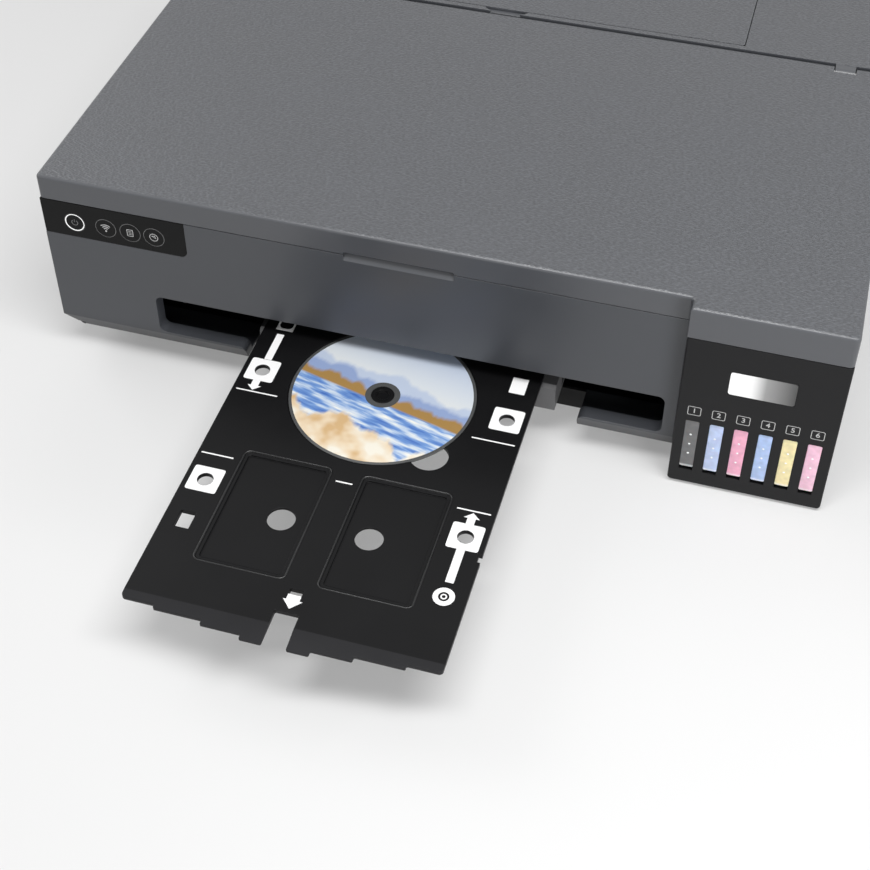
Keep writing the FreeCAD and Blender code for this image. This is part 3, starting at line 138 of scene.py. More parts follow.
def metal(name, colour, roughness, lines, stretch, relief=0.004 * mm):
    """Bare metal: drawing or rolling lines of a given spacing, long in one direction, vary tone and sheen."""
    darkest_line, eased_edge = 0.82, 0.2 * mm
    finish, tree, shader = blank_finish(name, {"Metallic": 1.0})
    place = add(tree, "TexCoord").outputs["Object"]
    drawn = add(tree, "Mapping", {"Vector": place, "Scale": tuple(1.0 / (lines * part) for part in stretch)})
    marks = add(tree, "TexNoise", {"Vector": drawn.outputs[0], "Scale": 1.0, "Detail": 4.0}).outputs["Fac"]
    dark = tuple(part * darkest_line for part in colour[:3]) + (1.0,)
    tone = ramp(tree, marks, [(0.3, dark), (0.7, colour)])
    sheen = add(tree, "MapRange", {"Value": marks, "To Min": roughness - 0.08, "To Max": roughness + 0.1})
    eased = add(tree, "Bevel", {"Radius": eased_edge}, samples=4)
    bump = add(tree, "Bump", {"Height": marks, "Distance": relief, "Normal": eased.outputs["Normal"]})
    tree.links.new(tone, shader.inputs["Base Color"])
    tree.links.new(sheen.outputs[0], shader.inputs["Roughness"])
    tree.links.new(bump.outputs["Normal"], shader.inputs["Normal"])
    return finish


def dress(finish, *nodes):
    """Gives CAD nodes a finish."""
    for name in nodes:
        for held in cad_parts[name].material_slots:
            held.material = finish


dress(moulded("case_black", grey(0.018), 0.62, grain=0.7 * mm, relief=0.05 * mm,
              settings={"Specular IOR Level": 0.25}), "bottom_case")
dress(moulded("foot_rubber", grey(0.02), 0.85, grain=0.3 * mm, relief=0.03 * mm, edge=0.5 * mm), "feet")
dress(metal("zinc_plate", grey(0.62, 1.0, 1.0, 0.97), 0.3, 0.6 * mm, (1, 1, 1)), "screws")


# Side frames, carriage rail and guide shaft.
# Two side plates and the rail are cut and folded from galvanised sheet, whose zinc has large soft crystals.
# The carriage's shaft is ground bright steel, and a clear film with fine bars lies along the rail.

def galvanised(name):
    """Zinc-coated sheet: crystals a few millimetres across differ a little in tone, and clouds in sheen."""
    crystal_size, clouds_per_metre, eased_edge = 5 * mm, 90.0, 0.2 * mm
    finish, tree, shader = blank_finish(name, {"Metallic": 1.0})
    place = add(tree, "TexCoord").outputs["Object"]
    crystals = add(tree, "TexVoronoi", {"Vector": place, "Scale": 1.0 / crystal_size}).outputs["Color"]
    cloud = add(tree, "TexNoise", {"Vector": place, "Scale": clouds_per_metre, "Detail": 4.0}).outputs["Fac"]
    tone = ramp(tree, crystals, [(0.0, grey(0.36)), (1.0, grey(0.5, 1.0, 1.0, 1.03))])
    sheen = add(tree, "MapRange", {"Value": cloud, "To Min": 0.28, "To Max": 0.52})
    eased = add(tree, "Bevel", {"Radius": eased_edge}, samples=4)
    tree.links.new(tone, shader.inputs["Base Color"])
    tree.links.new(sheen.outputs[0], shader.inputs["Roughness"])
    tree.links.new(eased.outputs["Normal"], shader.inputs["Normal"])
    return finish


ground_steel = metal("ground_steel", grey(0.58), 0.18, 0.25 * mm, (60, 1, 1), relief=0.001 * mm)
dress(galvanised("zinc_sheet"), "side_frames", "carriage_rail")
dress(ground_steel, "guide_shaft", "lid_hinge_pins")


def barred_film():
    """Clear film with a dark bar at a steady spacing along X, from a wave whose own length is pi / 10."""
    bar_spacing = 1.2 * mm
    film = {"Roughness": 0.1, "Transmission Weight": 0.6, "IOR": 1.45}
    finish, tree, shader = blank_finish("barred_film", film)
    place = add(tree, "TexCoord").outputs["Object"]
    bars = add(tree, "TexWave", {"Vector": place, "Scale": math.pi / 10 / bar_spacing}, wave_profile="SIN")
    tone = ramp(tree, bars.outputs["Fac"], [(0.45, grey(0.03)), (0.55, grey(0.75))])
    tree.links.new(tone, shader.inputs["Base Color"])
    return finish


dress(barred_film(), "encoder_strip")


# Motors, pulleys and belts.
# Each motor is a drawn can of plated steel. The carriage's belt is black rubber with moulded teeth on its
# inner side, held between two flanged pulleys of acetal, and a second belt turns both roller pulleys.

def skin(grid, loop=False):
    """Points and faces over a grid of points: the first index runs along a path, the second round a closed
    section. A loop joins its two ends, and an open run gets a flat cap on each. Faces that point inwards, by
    the sign of the volume that they enclose, are turned round."""
    grid = np.asarray(grid, float)
    index = np.arange(grid.shape[0] * grid.shape[1]).reshape(grid.shape[:2])
    here, ahead = (index, np.roll(index, -1, 0)) if loop else (index[:-1], index[1:])
    quads = np.stack([here, np.roll(here, -1, 1), np.roll(ahead, -1, 1), ahead], -1).reshape(-1, 4)
    points = grid.reshape(-1, 3)
    faces = quads.tolist() + ([] if loop else [index[0, ::-1].tolist(), index[-1].tolist()])
    middle = points - points.mean(0)
    first, second, third, fourth = (middle[quads[:, corner]] for corner in range(4))
    volume = np.sum(first * np.cross(second, third)) + np.sum(first * np.cross(third, fourth))
    if not loop:
        for cap, turn in ((middle[index[0]], -1), (middle[index[-1]], 1)):
            volume += turn * np.sum(cap[0] * np.cross(cap, np.roll(cap, -1, 0)))
    return points, [face[::-1] for face in faces] if volume < 0 else faces


def make_piece(name, parts, finish, body, smooth=None):
    """One object from (points, faces) parts, which rides on a body. Smooth is the angle, in degrees, past
    which an edge stays sharp."""
    starts = np.cumsum([0] + [len(points) for points, faces in parts])
    points = np.concatenate([points for points, faces in parts])
    faces = [[corner + start for corner in face]
             for start, part in zip(starts.tolist(), parts) for face in part[1]]
    mesh = bpy.data.meshes.new(name)
    mesh.from_pydata(points, [], faces)
    mesh.materials.append(finish)
    if smooth is not None:
        mesh.shade_smooth()
        mesh.set_sharp_from_angle(angle=math.radians(smooth))
    made = bpy.data.objects.new(name, mesh)
    bpy.context.collection.objects.link(made)
    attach(made, body)
    return made


def toothed_belt(low, high, radius, pitch, tooth):
    """A belt on two equal pulleys that stand along X. Its path is two straight runs and two half circles; its
    section is a flat strip, whose inner side steps in by one tooth over every second half pitch."""
    thickness, stations = 1.2 * mm, 4
    ends = np.array([low[0] + radius, high[0] - radius])
    axis_z = (low[2] + high[2]) / 2
    straight = ends[1] - ends[0]
    length = 2 * straight + 2 * math.pi * radius
    count = int(length / pitch) * stations
    travel = np.arange(count) / count * length
    half_circle = math.pi * radius
    reached = [travel < straight, travel < straight + half_circle, travel < 2 * straight + half_circle]
    turn = np.select(reached, [0 * travel, (travel - straight) / radius, math.pi + 0 * travel],
                     math.pi + (travel - 2 * straight - half_circle) / radius)
    back = ends[1] - (travel - straight - half_circle)
    centre_x = np.select(reached, [ends[0] + travel, ends[1] + 0 * travel, back], ends[0])
    outward = np.stack([np.sin(turn), 0 * turn, np.cos(turn)], -1)
    base = np.stack([centre_x, 0 * turn, 0 * turn + axis_z], -1)
    depth = radius - thickness - np.where(np.arange(count) % stations < stations / 2, tooth, 0.0)
    outer_side, inner_side = base + outward * radius, base + outward * depth[:, None]
    grid = np.stack([outer_side, outer_side, inner_side, inner_side], 1)
    grid[:, (0, 3), 1] = low[1]
    grid[:, (1, 2), 1] = high[1]
    return skin(grid, loop=True)


belt_rubber = moulded("belt_rubber", grey(0.018), 0.7, grain=0.25 * mm, relief=0.02 * mm, edge=0.15 * mm)
belt_pitch, tooth_depth = 2.0 * mm, 0.22 * mm
low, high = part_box("timing_belt")
belt = make_piece("toothed_belt", [toothed_belt(low, high, (high.z - low.z) / 2, belt_pitch, tooth_depth)],
                  belt_rubber, "housing")
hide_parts("timing_belt")
dress(belt_rubber, "feed_belt")
acetal = moulded("acetal", grey(0.62, 1.0, 0.98, 0.93), 0.38, relief=0.006 * mm, drift=0.03, edge=0.2 * mm)
dress(acetal, "drive_pulley", "idler_pulley", "motor_pulley")
dress(metal("plated_can", grey(0.5), 0.3, 0.4 * mm, (1, 1, 12)), "motors")


# Rollers and platen.
# The feed roller is steel with a blasted grip, and the output, pickup and pinch rollers carry grey rubber
# tyres that are ground true. Thin ribs on the moulded platen hold the sheet off its foam-filled channel.

roller_rubber = moulded("roller_rubber", grey(0.11, 1.0, 1.0, 1.03), 0.8, grain=0.3 * mm, relief=0.03 * mm,
                        edge=0.3 * mm)
dress(roller_rubber, "output_roller", "pickup_roller", "pinch_rollers")
dress(metal("blasted_steel", grey(0.42), 0.5, 0.2 * mm, (1, 1, 1), relief=0.02 * mm),
      "feed_roller", "star_wheels")


def plate(outline, z):
    """A flat plate: an outline in X and Y, carried up from one height to the other."""
    return skin([np.column_stack([outline, np.full(len(outline), height)]) for height in z])


def bar(x, y, z):
    """A box between two corners, given as (low, high) pairs."""
    outline = np.array([(x[0], y[0]), (x[1], y[0]), (x[1], y[1]), (x[0], y[1])])
    return plate(outline, z)


inner_black = moulded("inner_black", grey(0.03), 0.5, grain=0.5 * mm, relief=0.02 * mm)
low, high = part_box("platen")
rib_half, rib_count, end_gap = 0.7 * mm, 28, 12 * mm
rib_y, rib_z = (low.y + 4 * mm, high.y - 4 * mm), (high.z - 0.2 * mm, high.z + 0.22 * mm)
ribs = [bar((x - rib_half, x + rib_half), rib_y, rib_z)
        for x in np.linspace(low.x + end_gap, high.x - end_gap, rib_count)]
make_piece("platen_ribs", ribs, inner_black, "housing")
foam = moulded("foam_pad", grey(0.045), 0.95, grain=1.2 * mm, relief=0.3 * mm, drift=0.3)
length, pad_share = high.x - low.x, 0.25
pad_y, pad_z = (low.y + 34 * mm, low.y + 48 * mm), (high.z - 0.1 * mm, high.z + 0.12 * mm)
pads = [bar((low.x + start * length + 14 * mm, low.x + (start + pad_share) * length - 2 * mm), pad_y, pad_z)
        for start in (0.0, 0.25, 0.5, 0.7)]
make_piece("platen_pads", pads, foam, "housing")
dress(inner_black, "platen", "paper_chute", "hopper_plate", "edge_guide_left", "edge_guide_right", "front_deck",
      "capping_unit", "carriage", "print_head", "waste_ink_box", "power_supply", "power_inlet")


# Power inlet's pins and main board.
# Two plated pins stand in the inlet's figure-eight recess. The board is green glass fibre on black posts,
# and the components and the data socket that are soldered on top of it are black.

low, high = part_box("power_inlet")
turn = np.linspace(0, 2 * math.pi, 24, endpoint=False)


def pin_along_y(x, z, radius, y):
    """A round pin along Y whose free end is domed: circles whose radius shrinks over the last stations."""
    stations = [(y[0], 1.0), (y[1] - 0.6 * mm, 1.0), (y[1] - 0.2 * mm, 0.85), (y[1], 0.45)]
    return skin([np.column_stack([x + radius * share * np.cos(turn), np.full(len(turn), place),
                                  z + radius * share * np.sin(turn)]) for place, share in stations])


pin_radius, pin_offset, pin_y = 1.2 * mm, 4.3 * mm, (high.y - 10.5 * mm, high.y - 2.5 * mm)
middle_x, middle_z = (low.x + high.x) / 2, (low.z + high.z) / 2
pins = [pin_along_y(middle_x + side * pin_offset, middle_z, pin_radius, pin_y) for side in (-1, 1)]
make_piece("inlet_pins", pins, metal("pin_plate", grey(0.7), 0.22, 0.3 * mm, (1, 8, 1)), "housing", smooth=40)


def board_finish():
    """Bands by height: black posts, green laminate with copper runs below its lacquer, then components."""
    posts_top, laminate_top, runs_per_metre = 32.2 * mm, 33.9 * mm, 160.0
    finish, tree, shader = blank_finish("board_lacquer", {"Roughness": 0.35, "Coat Weight": 0.3})
    place = add(tree, "TexCoord").outputs["Object"]
    height = add(tree, "SeparateXYZ", {0: place}).outputs["Z"]
    runs = add(tree, "TexBrick", {
        "Vector": place, "Color1": (0.012, 0.075, 0.03, 1), "Color2": (0.01, 0.06, 0.025, 1),
        "Mortar": (0.03, 0.16, 0.06, 1), "Scale": runs_per_metre, "Mortar Size": 0.05})
    above_posts = add(tree, "Math", {0: height, 1: posts_top}, operation="GREATER_THAN").outputs[0]
    below_parts = add(tree, "Math", {0: height, 1: laminate_top}, operation="LESS_THAN").outputs[0]
    laminate = add(tree, "Math", {0: above_posts, 1: below_parts}, operation="MULTIPLY").outputs[0]
    tone = add(tree, "Mix", {0: laminate, 6: grey(0.02), 7: runs.outputs["Color"]}, data_type="RGBA")
    tree.links.new(tone.outputs[2], shader.inputs["Base Color"])
    return finish


dress(board_finish(), "main_board")


# Output tray.
# Three thin leaves of grey polystyrene telescope in side channels. The front leaf ends in a hollow box with
# a chamfered top edge, which is all that shows while the tray is stowed.

stage_grey = moulded("stage_grey", grey(0.105, 1.0, 1.0, 1.03), 0.4, grain=0.5 * mm, relief=0.02 * mm,
                     edge=0.5 * mm)
dress(stage_grey, "output_tray_rear", "output_tray_middle", "output_tray_front")


# Outer covers.
# Front panel, side covers and rear cover are moulded in dark grey high-impact polystyrene with a very fine
# satin grain, and clip and screw to the bottom case.

shell_grey = moulded("shell_grey", grey(0.055, 0.94, 1.0, 1.14), 0.36, grain=0.35 * mm, relief=0.012 * mm,
                     drift=0.03, edge=0.8 * mm, settings={"Specular IOR Level": 0.6})
# Painted shade: the covers' colour is darkened from 36 mm down to 20 mm, on their turned-under lower edges.
painted_foot_shade = [(20 * mm, 0.5), (26 * mm, 0.6), (31 * mm, 0.92), (36 * mm, 1.0)]
shade_along(shell_grey, "Z", painted_foot_shade)
dress(shell_grey, "front_panel", "left_cover", "right_cover", "rear_cover")


# Control panel.
# A glossy black moulding is let into the front panel's corner. The light ring round the power button glows,
# thin grey rings are printed round the other three, and each button has its mark printed on its cap.

panel_black = moulded("panel_black", grey(0.0065), 0.25, grain=0.6 * mm, relief=0.001 * mm, edge=0.4 * mm,
                      settings={"Specular IOR Level": 0.12})
dress(panel_black, "control_panel", "power_button", "wireless_button", "sheet_button", "stop_button")


def lit_plastic():
    """Milky light guide: its inner rim glows, where the lamps are, and its outer rim is painted black."""
    finish, tree, shader = blank_finish("lit_plastic", {"Roughness": 0.35, "Emission Strength": 0.45})
    low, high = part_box("power_light_ring")
    place = add(tree, "TexCoord").outputs["Object"]
    to_middle = (-(low.x + high.x) / 2, 0, -(low.z + high.z) / 2)
    flat = add(tree, "Mapping", {"Vector": place, "Scale": (1, 0, 1), "Location": to_middle}).outputs[0]
    reach = add(tree, "VectorMath", {0: flat}, operation="LENGTH").outputs["Value"]
    outer = (high.x - low.x) / 2
    share = add(tree, "MapRange", {"Value": reach, "From Min": outer * 0.7, "From Max": outer}).outputs[0]
    glow = ramp(tree, share, [(0.0, grey(0.95)), (0.66, grey(0.9)), (0.7, grey(0.012)), (1.0, grey(0.01))])
    tree.links.new(glow, shader.inputs["Base Color"])
    tree.links.new(glow, shader.inputs["Emission Color"])
    return finish


dress(lit_plastic(), "power_light_ring")


def printed(name, colour, roughness=0.45):
    """Screen-printed ink: a flat colour that thins a little over the specks of the surface below."""
    speck, thin_share = 0.5 * mm, 0.93
    finish, tree, shader = blank_finish(name, {"Roughness": roughness})
    place = add(tree, "TexCoord").outputs["Object"]
    specks = add(tree, "TexNoise", {"Vector": place, "Scale": 1.0 / speck, "Detail": 2.0}).outputs["Fac"]
    thin = tuple(part * thin_share for part in colour[:3]) + (1.0,)
    tone = ramp(tree, specks, [(0.3, thin), (0.6, colour)])
    bump = add(tree, "Bump", {"Height": specks, "Distance": 0.004 * mm})
    tree.links.new(tone, shader.inputs["Base Color"])
    tree.links.new(bump.outputs["Normal"], shader.inputs["Normal"])
    return finish


def arc(centre, radius, start, stop, steps):
    """Points on a circle from one angle to another, in degrees."""
    angle = np.radians(np.linspace(start, stop, steps, endpoint=abs(stop - start) < 360))
    return np.array(centre) + radius * np.column_stack([np.cos(angle), np.sin(angle)])


def stroke(line, width, depth, loop=False):
    """A printed line, flat as X, Y and depth: its middle line is offset by half its width to both sides, square
    to its own direction at each point and further out where it bends, and raised by its depth."""
    shortest = 1e-12
    line = np.asarray(line, float)
    if loop:
        ahead, behind = np.roll(line, -1, 0), np.roll(line, 1, 0)
    else:
        ahead, behind = np.vstack([line[1:], line[-1:]]), np.vstack([line[:1], line[:-1]])
    first, second = ahead - line, line - behind
    first = first / np.maximum(np.linalg.norm(first, axis=1, keepdims=True), shortest)
    second = second / np.maximum(np.linalg.norm(second, axis=1, keepdims=True), shortest)
    along = first + second
    along /= np.linalg.norm(along, axis=1, keepdims=True)
    across = np.column_stack([-along[:, 1], along[:, 0]])
    beside = np.where(np.abs(first).sum(1, keepdims=True) > 0, first, second)
    bend = np.clip(np.abs(np.sum(beside * along, 1)), 0.5, 1)
    offset = across * (width / 2 / bend)[:, None]
    flat = [(line + offset, 0.0), (line - offset, 0.0), (line - offset, depth), (line + offset, depth)]
    grid = np.stack([np.column_stack([edge, np.full(len(line), rise)]) for edge, rise in flat], 1)
    return skin(grid, loop)


def flat_plate(outline, depth):
    """A printed area: an outline in flat X and Y, carried up from nothing to its depth."""
    return plate(np.asarray(outline, float), (0.0, depth))


sunk = 0.01 * mm


def stand(parts, x, face_y, z):
    """Turns flat parts upright so that they face the front: flat X and Y become X and Z, and depth comes out
    of a face at that Y, a hundredth of a millimetre sunk into it."""
    return [(np.column_stack([x + points[:, 0], face_y + sunk - points[:, 2], z + points[:, 1]]), faces)
            for points, faces in parts]


icon_grey = printed("icon_grey", grey(0.6))
dim_grey = printed("dim_grey", grey(0.2))
thick = 0.05 * mm
ring_radius, ring_width = 7.05 * mm, 0.35 * mm
ring = stroke(arc((0, 0), ring_radius, 0, 360, 64), ring_width, thick, loop=True)
rings = []
for name in ("wireless_button", "sheet_button", "stop_button"):
    low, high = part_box(name)
    rings += stand([ring], (low.x + high.x) / 2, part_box("control_panel")[0].y, (low.z + high.z) / 2)
make_piece("button_rings", rings, dim_grey, "housing")


def round_corners(width, height, radius, steps=5):
    """The outline of a rectangle with rounded corners, centred: four quarter circles, joined in order."""
    corners = [(1, 1, 0), (-1, 1, 90), (-1, -1, 180), (1, -1, 270)]
    across, up = width / 2 - radius, height / 2 - radius
    return np.vstack([arc((side * across, end * up), radius, start, start + 90, steps)
                      for side, end, start in corners])


power_mark = [stroke(arc((0, 0), 2.1 * mm, 125, 415, 36), 0.42 * mm, thick),
              stroke([(0, 0.5 * mm), (0, 2.6 * mm)], 0.42 * mm, thick)]
wave_foot = (0, -2.2 * mm)
wave_mark = [stroke(arc(wave_foot, reach * mm, 50, 130, 20), 0.6 * mm, thick) for reach in (2.0, 3.5, 5.0)]
wave_mark.append(flat_plate(arc(wave_foot, 0.7 * mm, 0, 360, 16), thick))
sheet_mark = [stroke(round_corners(4.0 * mm, 5.2 * mm, 0.4 * mm), 0.4 * mm, thick, loop=True)]
sheet_mark += [stroke([(-1.1 * mm, z * mm), (1.1 * mm, z * mm)], 0.35 * mm, thick) for z in (-1.2, 0.0, 1.2)]
stop_mark = [stroke(arc((0, 0), 2.8 * mm, 0, 360, 40), 0.45 * mm, thick, loop=True),
             stroke(arc((0, 0.1 * mm), 1.5 * mm, -30, 330, 4)[:3], 0.4 * mm, thick, loop=True)]
marks = {"power_button": power_mark, "wireless_button": wave_mark, "sheet_button": sheet_mark,
         "stop_button": stop_mark}
for name, parts in marks.items():
    low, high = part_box(name)
    placed = stand(parts, (low.x + high.x) / 2, low.y, (low.z + high.z) / 2)
    tone = dim_grey if name == "power_button" else icon_grey
    make_piece(name.replace("button", "mark"), placed, tone, name)


# Ink tanks, their windows and caps.
# The case is moulded in near-black polystyrene. Six clear tanks stand in it, and a frosted insert with three
# level pips closes each window, tinted by the ink behind it. A brushed plate, bare, sits above.

tank_black = moulded("tank_black", grey(0.0088, 1.0, 1.0, 1.08), 0.42, grain=0.4 * mm, relief=0.012 * mm,
                     drift=0.04, edge=0.6 * mm, settings={"Specular IOR Level": 0.2})
dress(tank_black, "tank_case")


def brushed_plate():
    """Satin plate: a painted reflection, bright at its left end and darker to the right, with fine brushing
    along X.
    """
    finish, tree, shader = blank_finish("brushed_plate", {"Metallic": 0.1, "Coat Weight": 0.1})
    place = add(tree, "TexCoord").outputs["Object"]
    low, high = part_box("badge")
    across = add(tree, "SeparateXYZ", {0: place}).outputs["X"]
    share = add(tree, "MapRange", {"Value": across, "From Min": low.x, "From Max": high.x}).outputs[0]
    # Painted reflection: the plate's colour runs from white at its left end to near black at its right.
    tone = ramp(tree, share, [(0.0, grey(1.0)), (0.35, grey(0.9)), (0.55, grey(0.32)), (1.0, grey(0.06))])
    drawn = add(tree, "Mapping", {"Vector": place, "Scale": (60.0, 6000.0, 6000.0)}).outputs[0]
    lines = add(tree, "TexNoise", {"Vector": drawn, "Scale": 1.0, "Detail": 2.0}).outputs["Fac"]
    sheen = add(tree, "MapRange", {"Value": lines, "To Min": 0.3, "To Max": 0.5})
    bump = add(tree, "Bump", {"Height": lines, "Distance": 0.003 * mm})
    tree.links.new(tone, shader.inputs["Base Color"])
    tree.links.new(sheen.outputs[0], shader.inputs["Roughness"])
    tree.links.new(bump.outputs["Normal"], shader.inputs["Normal"])
    return finish


dress(brushed_plate(), "badge")
clear_styrene = {"Transmission Weight": 0.85, "IOR": 1.46, "Roughness": 0.12}
clear_tank, tree, shader = blank_finish("clear_tank", clear_styrene)
place = add(tree, "TexCoord").outputs["Object"]
specks = add(tree, "TexNoise", {"Vector": place, "Scale": 900.0}).outputs["Fac"]
tree.links.new(ramp(tree, specks, [(0.3, grey(0.8)), (0.7, grey(0.92))]), shader.inputs["Base Color"])
dress(clear_tank, "ink_tanks", "ink_tubes")

tank_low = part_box("tank_case")[0]
window_low, window_high = 16.7 * mm, 58.2 * mm
first_tank, tank_pitch = 10.75, 15.1
tank_places = tank_low.x + (first_tank + tank_pitch * np.arange(6)) * mm
ink_tints = {
    "black": ((0.13, 0.13, 0.133), (0.01, 0.01, 0.012)), "pale_cyan": ((0.51, 0.61, 0.86), (0.12, 0.4, 0.62)),
    "magenta": ((0.86, 0.41, 0.56), (0.45, 0.015, 0.12)), "cyan": ((0.42, 0.55, 0.84), (0.0, 0.12, 0.42)),
    "yellow": ((0.88, 0.77, 0.43), (0.7, 0.5, 0.01)), "pale_magenta": ((0.88, 0.54, 0.68), (0.62, 0.16, 0.3)),
}


def window_finish(name, tint):
    """Frosted insert: a painted highlight along its bottom rim, where light collects in the plastic, darker
    towards its top end, and soft clouds.
    """
    painted_rim_highlight, top_share = 0.45, 0.72
    frosted = {"Roughness": 0.28, "Coat Weight": 0.4, "Subsurface Weight": 0.15, "Subsurface Scale": 0.002}
    finish, tree, shader = blank_finish(name, frosted)
    place = add(tree, "TexCoord").outputs["Object"]
    height = add(tree, "SeparateXYZ", {0: place}).outputs["Z"]
    share = add(tree, "MapRange", {"Value": height, "From Min": window_low, "From Max": window_high}).outputs[0]
    # Painted highlight: the bottom rim of each insert is painted paler.
    pale = tuple(part + (1 - part) * painted_rim_highlight for part in tint) + (1.0,)
    dull = tuple(part * top_share for part in tint) + (1.0,)
    base = tuple(tint) + (1.0,)
    tone = ramp(tree, share, [(0.0, pale), (0.03, pale), (0.06, base), (0.75, base), (0.93, base), (1.0, dull)])
    frost = add(tree, "TexNoise", {"Vector": place, "Scale": 700.0, "Detail": 3.0}).outputs["Fac"]
    bump = add(tree, "Bump", {"Height": frost, "Distance": 0.02 * mm, "Strength": 0.5})
    tree.links.new(tone, shader.inputs["Base Color"])
    tree.links.new(bump.outputs["Normal"], shader.inputs["Normal"])
    cloud = add(tree, "TexNoise", {"Vector": place, "Scale": 210.0, "Detail": 1.0}).outputs["Fac"]
    shade(finish, ramp(tree, cloud, [(0.35, grey(0.84)), (0.65, grey(1.0))]))
    return finish


def window_insert(x):
    """An upright bar whose section is a rounded box and shrinks by a quarter circle at both ends. It laps the
    opening's rim a little and stands just proud of the case."""
    width, thickness, ease, mean_reach = 9.2 * mm, 2.6 * mm, 0.9 * mm, 4.25 * mm
    middle_y = tank_low.y + 1.2 * mm
    section = round_corners(width, thickness, ease)
    tilt = np.linspace(0, math.pi / 2, 5)
    drawn_in = ease * (1 - np.cos(tilt))
    heights = np.concatenate([window_low + drawn_in, window_high - drawn_in[::-1]])
    inset = ease * (1 - np.sin(np.concatenate([tilt, tilt[::-1]])))
    shrunk = section * (1 - inset / mean_reach)[:, None, None]
    return skin([np.column_stack([x + outline[:, 0], middle_y + outline[:, 1], np.full(len(outline), height)])
                 for outline, height in zip(shrunk, heights)])


def level_pip(x, z):
    """A low dome on the insert: circles that shrink by the cosine of an angle and rise by its sine."""
    radius, rise, foot, last_tilt = 0.75 * mm, 0.2 * mm, tank_low.y - 0.08 * mm, math.pi / 2 - 0.15
    return skin([np.column_stack([x + radius * math.cos(tilt) * np.cos(turn),
                                  np.full(len(turn), foot - rise * math.sin(tilt)),
                                  z + radius * math.cos(tilt) * np.sin(turn)])
                 for tilt in np.linspace(0, last_tilt, 5)])


def ink_fill(x, top):
    """Ink in a tank: a rounded box whose top rim creeps up the wall as a small meniscus."""
    low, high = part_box("ink_tanks")
    width, both_walls, corner = 10.6 * mm, 4.6 * mm, 0.8 * mm
    bottom, middle = low.z + 1.9 * mm, (low.y + high.y) / 2
    outline = round_corners(width, high.y - low.y - both_walls, corner, 3)
    rows = [(1.0, bottom), (1.0, top), (0.97, top - 0.5 * mm), (0.9, top - 0.8 * mm)]
    return skin([np.column_stack([x + outline[:, 0] * share, middle + outline[:, 1] * share,
                                  np.full(len(outline), z)]) for share, z in rows])


pip_white = printed("pip_white", grey(0.9), 0.3)
label_grey = printed("label_grey", grey(0.5))
label_z, figure_height, raised, bolder = 66.9 * mm, 5.4 * mm, 0.02 * mm, 0.06 * mm
label_edge = stroke(round_corners(7.9 * mm, 7.0 * mm, 0.9 * mm), 0.42 * mm, thick, loop=True)
pip_heights, lowest_ink, ink_step = (29.2, 37.6, 46.0), 62.0, 3.0
label_parts = []
for number, ((ink, (tint, deep)), x) in enumerate(zip(ink_tints.items(), tank_places), start=1):
    make_piece("window_%d" % number, [window_insert(x)], window_finish("window_" + ink, tint),
               "housing", 50)
    pips = [level_pip(x, height * mm) for height in pip_heights]
    make_piece("level_pips_%d" % number, pips, pip_white, "housing", smooth=60)
    fluid, tree, shader = blank_finish("ink_" + ink, {"Roughness": 0.08})
    place = add(tree, "TexCoord").outputs["Object"]
    cloud = add(tree, "TexNoise", {"Vector": place, "Scale": 40.0}).outputs["Fac"]
    thin = tuple(min(1.0, part * 1.15) for part in deep) + (1.0,)
    tree.links.new(ramp(tree, cloud, [(0.3, tuple(deep) + (1.0,)), (0.7, thin)]), shader.inputs["Base Color"])
    ink_top = (lowest_ink + ink_step * (number % 3)) * mm
    make_piece("ink_%d" % number, [ink_fill(x, ink_top)], fluid, "housing", smooth=50)
    cap_colour = tuple(0.25 * part + 0.75 * own for part, own in zip(tint, deep)) + (1.0,)
    dress(moulded("cap_" + ink, cap_colour, 0.4, relief=0.01 * mm, drift=0.03), "tank_cap_%d" % number)

    figure = bpy.data.curves.new("figure", "FONT")
    figure.body, figure.size, figure.align_x, figure.align_y = str(number), figure_height, "CENTER", "CENTER"
    figure.extrude, figure.offset = raised, bolder
    holder = bpy.data.objects.new("figure", figure)
    drawn = bpy.data.meshes.new_from_object(holder)
    flat = np.zeros(len(drawn.vertices) * 3)
    drawn.vertices.foreach_get("co", flat)
    faces = [list(face.vertices) for face in drawn.polygons]
    digit = (flat.reshape(-1, 3) + (0, 0, raised), faces)
    label_parts += stand([label_edge, digit], x, tank_low.y, label_z)
    bpy.data.objects.remove(holder)
    bpy.data.meshes.remove(drawn)
make_piece("tank_labels", label_parts, label_grey, "housing")


# Lid, rear deck and paper support.
# One cover spans the whole top, tank unit included, and turns on pins at its rear edge. All three mouldings
# are mid-grey polystyrene; their flat tops carry fine slanting dimples, and the aprons are plain satin.

